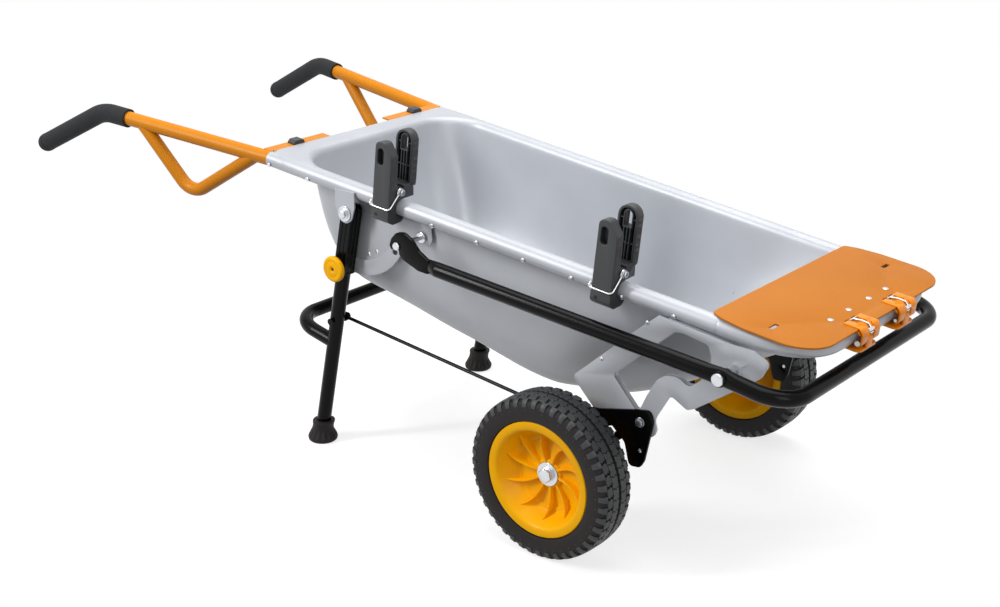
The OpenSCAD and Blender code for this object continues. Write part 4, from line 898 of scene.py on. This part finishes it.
def build_leg(name, sign):
    out = Vector((0, sign, 0))
    up = Vector((math.sin(LEAN), 0, math.cos(LEAN)))
    ahead = Vector((math.cos(LEAN), 0, -math.sin(LEAN)))
    pivot = ground(LEG_PIVOT.x, sign * LEG_HALF, LEG_PIVOT.y)
    # tube
    foot_level = 20.0
    length = (LEG_PIVOT.y - 9) / math.cos(LEAN)
    tube = lathe([(95, 12), (length, 12)], pivot, -up, 36)
    # sleeve: a channel with upright grooves and a round top
    half, deep = 12.4, 1.1
    side = [(half - (deep if abs(abs(at) - 4.0) < 0.8 else 0), at)
            for at in (-11.2, -5.4, -4.6, -3.4, -2.6, 2.6, 3.4, 4.6, 5.4, 11.2)]
    edge = side + [(-at, sunk) for sunk, at in side] + [(-sunk, -at) for sunk, at in side] + \
        [(at, -sunk) for sunk, at in side]
    rings = []
    for drop, long, wide in ((-11.0, 0.45, 1), (-8.5, 0.74, 1), (-4.5, 0.93, 1), (0.0, 1, 1), (106.0, 1, 1),
                             (109.5, 0.97, 0.97), (110.5, 0.92, 0.92)):
        rings.append([pivot - up * drop * MM + ahead * a * long * MM + out * b * wide * MM for a, b in edge])
    sleeve = loft(rings, caps=(0, -1))
    band = block((-13.0, -13.0, -2.2), (13.0, 13.0, 2.2), 0.6)
    band.transform(Matrix.Translation(pivot - up * 108 * MM) @ Matrix.Rotation(LEAN, 4, "Y")
                   @ Matrix.Scale(MM * 0.98, 4))
    piece("leg_skin_" + name, join(tube, sleeve, band), black_coat, "legs",
          ("leg_" + name,), sharp=40)

    # fluted rubber foot
    foot_x = LEG_PIVOT.x - math.tan(LEAN) * (LEG_PIVOT.y - foot_level)
    rings = []
    for z, radius, flute in ((0.2, 19.0, 0), (0.6, 22.4, 0), (2.6, 24.6, 0), (5.6, 25.4, 0),
                             (7.6, 25.5, 0.2), (9.6, 24.9, 1), (13.0, 23.2, 1), (17.0, 21.0, 1),
                             (20.4, 19.4, 0.7), (22.6, 18.6, 0), (27.0, 18.1, 0), (33.0, 18.2, 0),
                             (34.0, 19.0, 0), (37.6, 19.1, 0), (38.8, 18.4, 0), (38.9, 12.2, 0)):
        drift = math.tan(LEAN) * max(z - foot_level, 0)
        ring = []
        for a in turns(84):
            reach = radius * (1 - 0.085 * flute * max(0, math.cos(14 * a)) ** 0.6)
            ring.append(ground(foot_x + drift + reach * math.cos(a), sign * LEG_HALF + reach * math.sin(a), z))
        rings.append(ring)
    piece("foot_skin_" + name, loft(rings, caps=(0, -1)), rubber, "legs",
          ("foot_" + name,), sharp=40)

    # lock knob: a thick disc with a rolled edge, a shallow ring and a screw hole
    spot = pivot - up * 98 * MM
    base = spot + out * 19.6 * MM
    knob = lathe([(0, 17.5), (0.6, 19.8), (2.0, 21.3), (4.4, 22.0), (6.6, 21.8), (8.4, 20.6), (9.4, 18.6),
                  (9.6, 16.2), (9.1, 14.4), (9.1, 12.2), (9.7, 10.6), (9.9, 7.0), (9.6, 4.4), (8.6, 3.2),
                  (6.0, 3.0), (6.0, 0.4)], base, out, 64)
    pin = lathe([(0, 3.4), (22.8, 3.4)], spot - out * 12.4 * MM, out, 24)
    body = "knob_" + name
    piece("knob_skin_" + name, join(knob, pin), orange_plastic, body,
          ("lock_knob_" + name,), sharp=35)
    hole = lathe([(0, 3.1), (0.5, 3.1)], base + out * 6.0 * MM, out, 24)
    piece("knob_hole_" + name, hole, shade, body)
    return pivot, out


bolts = []
for name, sign in SIDES:
    pivot, out = build_leg(name, sign)
    start = pivot + out * (HANGER_FACE - LEG_HALF) * MM
    bolts += [lathe([(0, 3.95), (31.0, 3.95)], start, -out, 24),
              lathe([(0, 13.0), (1.5, 13.0), (2.0, 12.4), (2.0, 8)], start, out, 40),
              lathe([(2.0, 8.6), (3.2, 8.6), (3.5, 8.0)], start, out, 32),
              hexagon(start + out * 3.4 * MM, out, 13, 5.2),
              lathe([(8.4, 4.0), (8.9, 3.6)], start, out, 24)]
piece("leg_bolt_heads", join(*bolts), zinc, "frame", ("leg_bolts",), sharp=30)


# ---------------------------------------------------------------- chassis plates and wheel carriers
PIVOT = (113.0, 218.0)     # the carriers' pivot
CHASSIS = 206.0            # outer face of the chassis plates
plate_outline = outline([(-13, 256), (27, 216), (60, 206), (94, 203), (113, 192), (134, 199), (139, 211),
                         (134, 226), (160, 271), (188, 256), (201, 262), (258, 302), (302, 334), (315, 359),
                         (290, 371), (250, 371.5), (135, 386), (92, 350)],
                        [8, 14, 20, 20, 24, 12, 8, 30, 7, 8, 8, 60, 14, 8, 8, 1, 2, 60], 7)
window = outline([(59.5, 277.5), (140, 349), (162, 368), (176, 369.5), (218, 362), (225, 341), (208, 306),
                  (189, 291), (171, 302), (152, 300), (136, 289), (119, 259), (108, 234), (101, 233)],
                 [7, 60, 14, 14, 9, 22, 24, 12, 22, 20, 22, 60, 5, 3], 7)


def build_chassis(name, sign):
    spot = beside(sign)
    body = sheet(plate_outline, [window, disc(264, 336, 3.0, 12)], CHASSIS - 3, CHASSIS, spot)
    soften(body, 0.9 * MM, 50)
    # turned-in edge round the window and along the arch
    inner = offset(window, 2.4)
    flange = sewn(loft([[spot(p.x, p.y, CHASSIS - deep) for p in loop] for loop, deep in
                        ((window, 0.6), (window, 8.5), (offset(window, -0.6), 9.4), (inner, 9.4), (inner, 2.6),
                         (window, 0.6))]))
    # the web that ties the plate to the tub and the saddle under the rim
    web = plate(vectors((0, 158), (125, 191), (125, CHASSIS - 3), (0, CHASSIS - 3)), -3, 0, plain)
    web.transform(Matrix.Translation(ground(38, 0, 297)) @ Matrix.Rotation(math.radians(-42), 4, "Y")
                  @ Matrix.Diagonal((MM, sign * MM, MM, 1)))
    saddle = sheet(outline([(150, 371), (300, 354), (300, 361), (150, 385)], 0.5, 2), [],
                   CHASSIS - 10, CHASSIS - 3, spot)
    # pressed gusset: a three-sided dent with a crest that falls towards the window
    dent = vectors((240, 322), (282, 350), (262, 318))
    crest = Vector((264, 340))
    rings = [[spot(*(crest + (p - crest) * size), CHASSIS + rise) for p in
              (a.lerp(b, k / 6) for a, b in zip(dent, dent[1:] + dent[:1]) for k in range(6))]
             for size, rise in ((1.0, -0.2), (0.94, 0.2), (0.42, 3.0), (0.3, 3.6))]
    gusset = loft(rings, caps=(-1,))
    piece("chassis_skin_" + name, join(body, flange, web, saddle, gusset), silver, "frame",
          ("chassis_" + name,), sharp=35)
    # bright rivets where the plate meets the tub
    return [lathe([(-0.4, 3.2), (0.8, 3.0), (1.4, 2.0), (1.6, 0.6)], spot(x, z, CHASSIS), Y * sign, 20)
            for x, z in ((117, 371), (40, 297))]


def build_carrier(name, sign):
    spot, out, arm = beside(sign), Y * sign, "carrier_arm_" + name
    shape = outline([(-25, 101), (25, 101), (27, 152), (34, 186), (63.6, 199), (86.4, 179), (95.4, 144),
                     (115, 146), (121.5, 158), (135, 222), (129, 240), (101, 234.5), (41, 219), (-10, 212),
                     (-25, 160)],
                    [23, 23, 40, 12, 3, 14, 8, 8, 12, 9, 9, 30, 60, 16, 30], 8)
    body = sheet(shape, [disc(114, 173, 3.4, 16)], 206.3, 210.3, spot)
    soften(body, 0.9 * MM, 50)
    knob = lathe([(0, 7.0), (5, 7.0), (5.6, 6.4)], spot(72, 184, 206.4), -out, 28)
    eye = lathe([(0, 7.0), (21.5, 7.0)], spot(13.5, 174.5, 206.4), -out, 28)
    piece("carrier_skin_" + name, join(body, knob, eye), black_coat, arm,
          ("carrier_" + name,), sharp=35)
    stop = lathe([(-4.2, 2.6), (1.2, 2.6), (1.8, 1.8)], spot(114, 173, 210.3), out, 20)
    piece("carrier_stop_" + name, stop, zinc, arm)
    head = spot(*PIVOT, 210.6)
    return [lathe([(0, 7.6), (1.0, 7.6), (1.4, 7.0)], head, out, 32),
            hexagon(head + out * 1.3 * MM, out, 11.5, 3.6),
            lathe([(0, 3.9), (18, 3.9)], head, -out, 20),
            hexagon(spot(*PIVOT, CHASSIS - 3.1), -out, 14, 5.6)]


carrier_bolts, rivets = [], []
for name, sign in SIDES:
    rivets += build_chassis(name, sign)
    carrier_bolts += build_carrier(name, sign)
piece("chassis_rivets", join(*rivets), zinc, "frame", sharp=30)
piece("carrier_bolt_heads", join(*carrier_bolts), dark_steel, "frame", ("carrier_bolts",), sharp=30)


# ---------------------------------------------------------------- arm loop, hooks and quadrants
ARM = Vector((260.0, 335.0))      # the arms' pivot
ARM_HALF, ARM_TAIL = 235.0, 500.0
BOLT_BEND, FRONT_BEND = 160.0, 92.0
TILT, DIP = math.radians(5.68), math.radians(9.78)


def arm_half(x):
    return ARM_HALF - x * math.tan(TAPER)


def on_arm(x, y, z, tilt=TILT):
    """A point of the arms' own frame: x forward along the arm from its pivot, z square to it."""
    return ground(ARM.x + x * math.cos(tilt) + z * math.sin(tilt), y,
                  ARM.y - x * math.sin(tilt) + z * math.cos(tilt))


reach = (359.0 - ARM.x) / math.cos(DIP)
right, left = ([on_arm(-ARM_TAIL, side * arm_half(-ARM_TAIL), 0), on_arm(0, side * ARM_HALF, 0),
                on_arm(reach, side * arm_half(reach), 0, DIP)] for side in (-1, 1))
bends = [bend * MM for bend in (0, BOLT_BEND, FRONT_BEND, FRONT_BEND, BOLT_BEND, 0)]
loop = rounded(right + left[::-1], bends, 16)
path = []
for a, b in zip(loop, loop[1:]):
    steps = max(1, round((b - a).length / (14 * MM)))
    path += [a.lerp(b, k / steps) for k in range(steps)]
path.append(loop[-1])
rings = []
for i, point in enumerate(path):
    ahead = (path[min(i + 1, len(path) - 1)] - path[max(i - 1, 0)]).normalized()
    side = Z.cross(ahead).normalized()
    up = ahead.cross(side)
    # the tube is pressed flat where the bolt goes through
    near = min((point - on_arm(0, s * ARM_HALF, 0)).length for s in (1, -1)) / MM
    squash = 1 - 0.20 * math.exp(-(near / 13) ** 4)
    rings.append([point + (side * math.cos(a) * squash + up * math.sin(a) * (2 - squash) ** 0.5) * 12 * MM
                  for a in turns(36)])
piece("arm_loop_skin", loft(rings, caps=(0, -1)), black_coat, "arms", ("arm_frame",), sharp=40)

bolts = []
for name, sign in SIDES:
    out = Y * sign
    face = on_arm(0, sign * (ARM_HALF + 10.4), 0)
    washer = lathe([(-1.5, 11.5), (0.6, 11.5), (1.0, 11.0)], face, out, 36)
    piece("arm_washer_" + name, washer, black_coat, "frame", sharp=35)
    bolts += [lathe([(0.8, 9.0), (4.2, 9.2), (5.2, 8.7), (5.7, 7.4)], face, out, 40),
              lathe([(0, 3.9), (44, 3.9)], face, -out, 20),
              lathe([(0, 8.9), (16.0, 8.9)], on_arm(0, sign * 206.2, 0), out, 28),
              hexagon(on_arm(0, sign * 202.8, 0), -out, 14, 5.6)]
piece("arm_bolt_heads", join(*bolts), zinc, "frame", ("arm_bolts",), sharp=32)

# hooks at the arms' ends, which rest on pegs of the quadrants
PEG_BACK, PEG_UP, PEG_INNER = -582.0, 15.0, 194.0
PEG = on_arm(PEG_BACK, 0, PEG_UP)
hook = outline([(-516, -11), (-536, -11.5), (-566, -3.6), (-575.5, 2.6), (-577.4, 10.6), (-577.2, 15),
                (-586.8, 15), (-587.4, 8), (-592.5, 6.4), (-597, 12), (-594, 24), (-585, 36), (-570, 40.5),
                (-553, 33), (-538, 19.5), (-520, 11.6), (-516, 11)],
               [1, 8, 14, 5, 2, 4.7, 4.7, 2, 3, 6, 10, 10, 14, 16, 18, 8, 1], 6)
wide = arm_half(PEG_BACK)
pegs = []
for name, sign in SIDES:
    body = sheet(hook, [], -3, 3, lambda x, z, out: on_arm(x, sign * (wide + out), z))
    soften(body, 0.8 * MM, 50)
    # the tube's end, pressed from round to flat
    rings = []
    for k in range(11):
        t = k / 10
        x = -ARM_TAIL + 3 - 27 * t
        thick, tall = 12 - 8.8 * smooth(0, 1, t), 12 + 0.2 * t
        rings.append([on_arm(x, sign * (arm_half(x) + thick * math.cos(a)), tall * math.sin(a))
                      for a in turns(32)])
    neck = loft(rings, caps=(0, -1))
    piece("arm_hook_skin_" + name, join(body, neck), black_coat, "arms",
          ("arm_hook_" + name,), sharp=35)
    end = wide + 3.2
    for at, profile, count in ((PEG_INNER, [(0, 4.0), (end - PEG_INNER, 4.0)], 28),
                               (end, [(0, 6.4), (1.8, 6.4), (3.0, 5.6), (3.4, 4.2)], 32),
                               (PEG_INNER + 2.8, [(0, 9.0), (1.6, 9.0), (2.4, 8.0)], 32)):
        pegs.append(lathe(profile, Vector((PEG.x, sign * at * MM, PEG.z)), Y * sign, count))
piece("arm_peg_heads", join(*pegs), zinc, "frame", ("arm_pegs",), sharp=32)


def polar(radius, degrees):
    """A point of the quadrant, round the leg's pivot."""
    return Vector((radius * math.cos(math.radians(degrees)), radius * math.sin(math.radians(degrees))))


def arc(radius, first, last, steps):
    return [polar(radius, first + (last - first) * k / steps) for k in range(steps + 1)]


# quadrants: an upper cheek and, riveted under it, a band with the two lock holes
peg = Vector(((PEG.x - AXLE_X) / MM - LEG_PIVOT.x, PEG.z / MM - LEG_PIVOT.y))
cheek = vectors((-22, 14), (-26, -60)) + arc(86, -107, -18, 20) + \
    vectors((peg.x + 14, peg.y - 13), (peg.x + 20, peg.y - 2), (peg.x + 18, 2), (110, 6), (60, 12))
locks = [disc(*polar(98, fold - 12.07 - 90), 5.2, 20) for fold in (0.0, 67.5)]
band = arc(110, -112, -14, 26) + arc(84, -19, -116, 26)
for name, sign in SIDES:
    def cheek_at(x, z, out):
        return ground(LEG_PIVOT.x + x, sign * out, LEG_PIVOT.y + z)

    upper = soften(sheet(cheek, [], 191.9, 193.9, cheek_at), 0.5 * MM, 50)
    lower = soften(sheet(band, locks, 193.8, 196.8, cheek_at), 1.1 * MM, 50)
    piece("quadrant_skin_" + name, join(upper, lower), silver, "frame",
          ("quadrant_" + name,), sharp=35)
    studs = [lathe([(0, 3.6), (1.0, 3.4), (1.7, 2.0)], cheek_at(*polar(75, a), 193.8), Y * sign, 20)
             for a in (-73, -58)]
    piece("quadrant_rivets_" + name, join(*studs), zinc, "frame")


# ---------------------------------------------------------------- camera, lights and floor
camera = bpy.data.objects.new("camera", bpy.data.cameras.new("camera"))
bpy.context.collection.objects.link(camera)
camera.data.sensor_width = 36
camera.data.lens = 57.17
camera.location = (AXLE_X + 1.2771, -1.9604, 1.1606)
camera.rotation_euler = (math.radians(70.024), 0, math.radians(39.147))
bpy.context.scene.camera = camera


def lamp(name, place, aim, size, power):
    light = bpy.data.objects.new(name, bpy.data.lights.new(name, "AREA"))
    light.data.shape = "RECTANGLE"
    light.data.size, light.data.size_y = size
    light.data.energy = power
    light.location = place
    light.rotation_euler = (Vector(aim) - Vector(place)).to_track_quat("-Z", "Y").to_euler()
    bpy.context.collection.objects.link(light)


lamp("top_box", (0.2, 0.3, 3.0), (0, 0, 0.3), (3.0, 2.4), 76)
lamp("key_box", (-1.6, -2.6, 2.2), (0, 0, 0.3), (0.4, 1.8), 74)
lamp("fill_box", (3.0, -1.4, 1.6), (0.2, 0, 0.3), (1.2, 1.8), 20)


def seen_rays(tree):
    """1 for the rays that show the white surroundings: straight, mirrored, or through glass."""
    path = add(tree, "LightPath")
    seen = path.outputs["Is Camera Ray"]
    for kind in ("Is Glossy Ray", "Is Transmission Ray"):
        seen = calc(tree, "MAXIMUM", seen, path.outputs[kind])
    return seen


world = bpy.data.worlds.new("studio")
bpy.context.scene.world = world
world.use_nodes = True
sky = world.node_tree
backdrop = sky.nodes["Background"]
# white where it is seen, and weaker as a light
glow = add(sky, "Mix", {"data_type": "FLOAT"})
sky.links.new(seen_rays(sky), glow.inputs[0])
glow.inputs[2].default_value = 0.42
glow.inputs[3].default_value = 1.0
sky.links.new(glow.outputs[0], backdrop.inputs["Strength"])
backdrop.inputs["Color"].default_value = (1, 1, 1, 1)

floor_mesh = bmesh.new()
bmesh.ops.create_grid(floor_mesh, x_segments=1, y_segments=1, size=12)
floor_data = bpy.data.meshes.new("floor")
floor_mesh.to_mesh(floor_data)
floor = bpy.data.objects.new("floor", floor_data)
bpy.context.collection.objects.link(floor)
# White paper under the barrow that fades into the white background away from it.
paper, tree, shader = finish("white_paper")
shader.inputs["Roughness"].default_value = 0.9
shader.inputs["Specular IOR Level"].default_value = 0.0
seen = seen_rays(tree)
tree.links.new(ramp(tree, seen, [(0.0, 0.16), (1.0, 0.42)]), shader.inputs["Base Color"])
shader.inputs["Emission Color"].default_value = (1, 1, 1, 1)
tree.links.new(calc(tree, "MULTIPLY", seen, 0.72), shader.inputs["Emission Strength"])
away = add(tree, "VectorMath", {"operation": "LENGTH"})
tree.links.new(add(tree, "TexCoord").outputs["Object"], away.inputs[0])
fade = ramp(tree, away.outputs["Value"], [(0.55, 1.0), (0.95, 0.0)])
# only straight rays see it fade; for all others it is solid
solid = calc(tree, "SUBTRACT", 1.0, add(tree, "LightPath").outputs["Is Camera Ray"])
tree.links.new(calc(tree, "MAXIMUM", fade, solid), shader.inputs["Alpha"])
floor_data.materials.append(paper)

scene = bpy.context.scene
scene.view_settings.view_transform = "Standard"
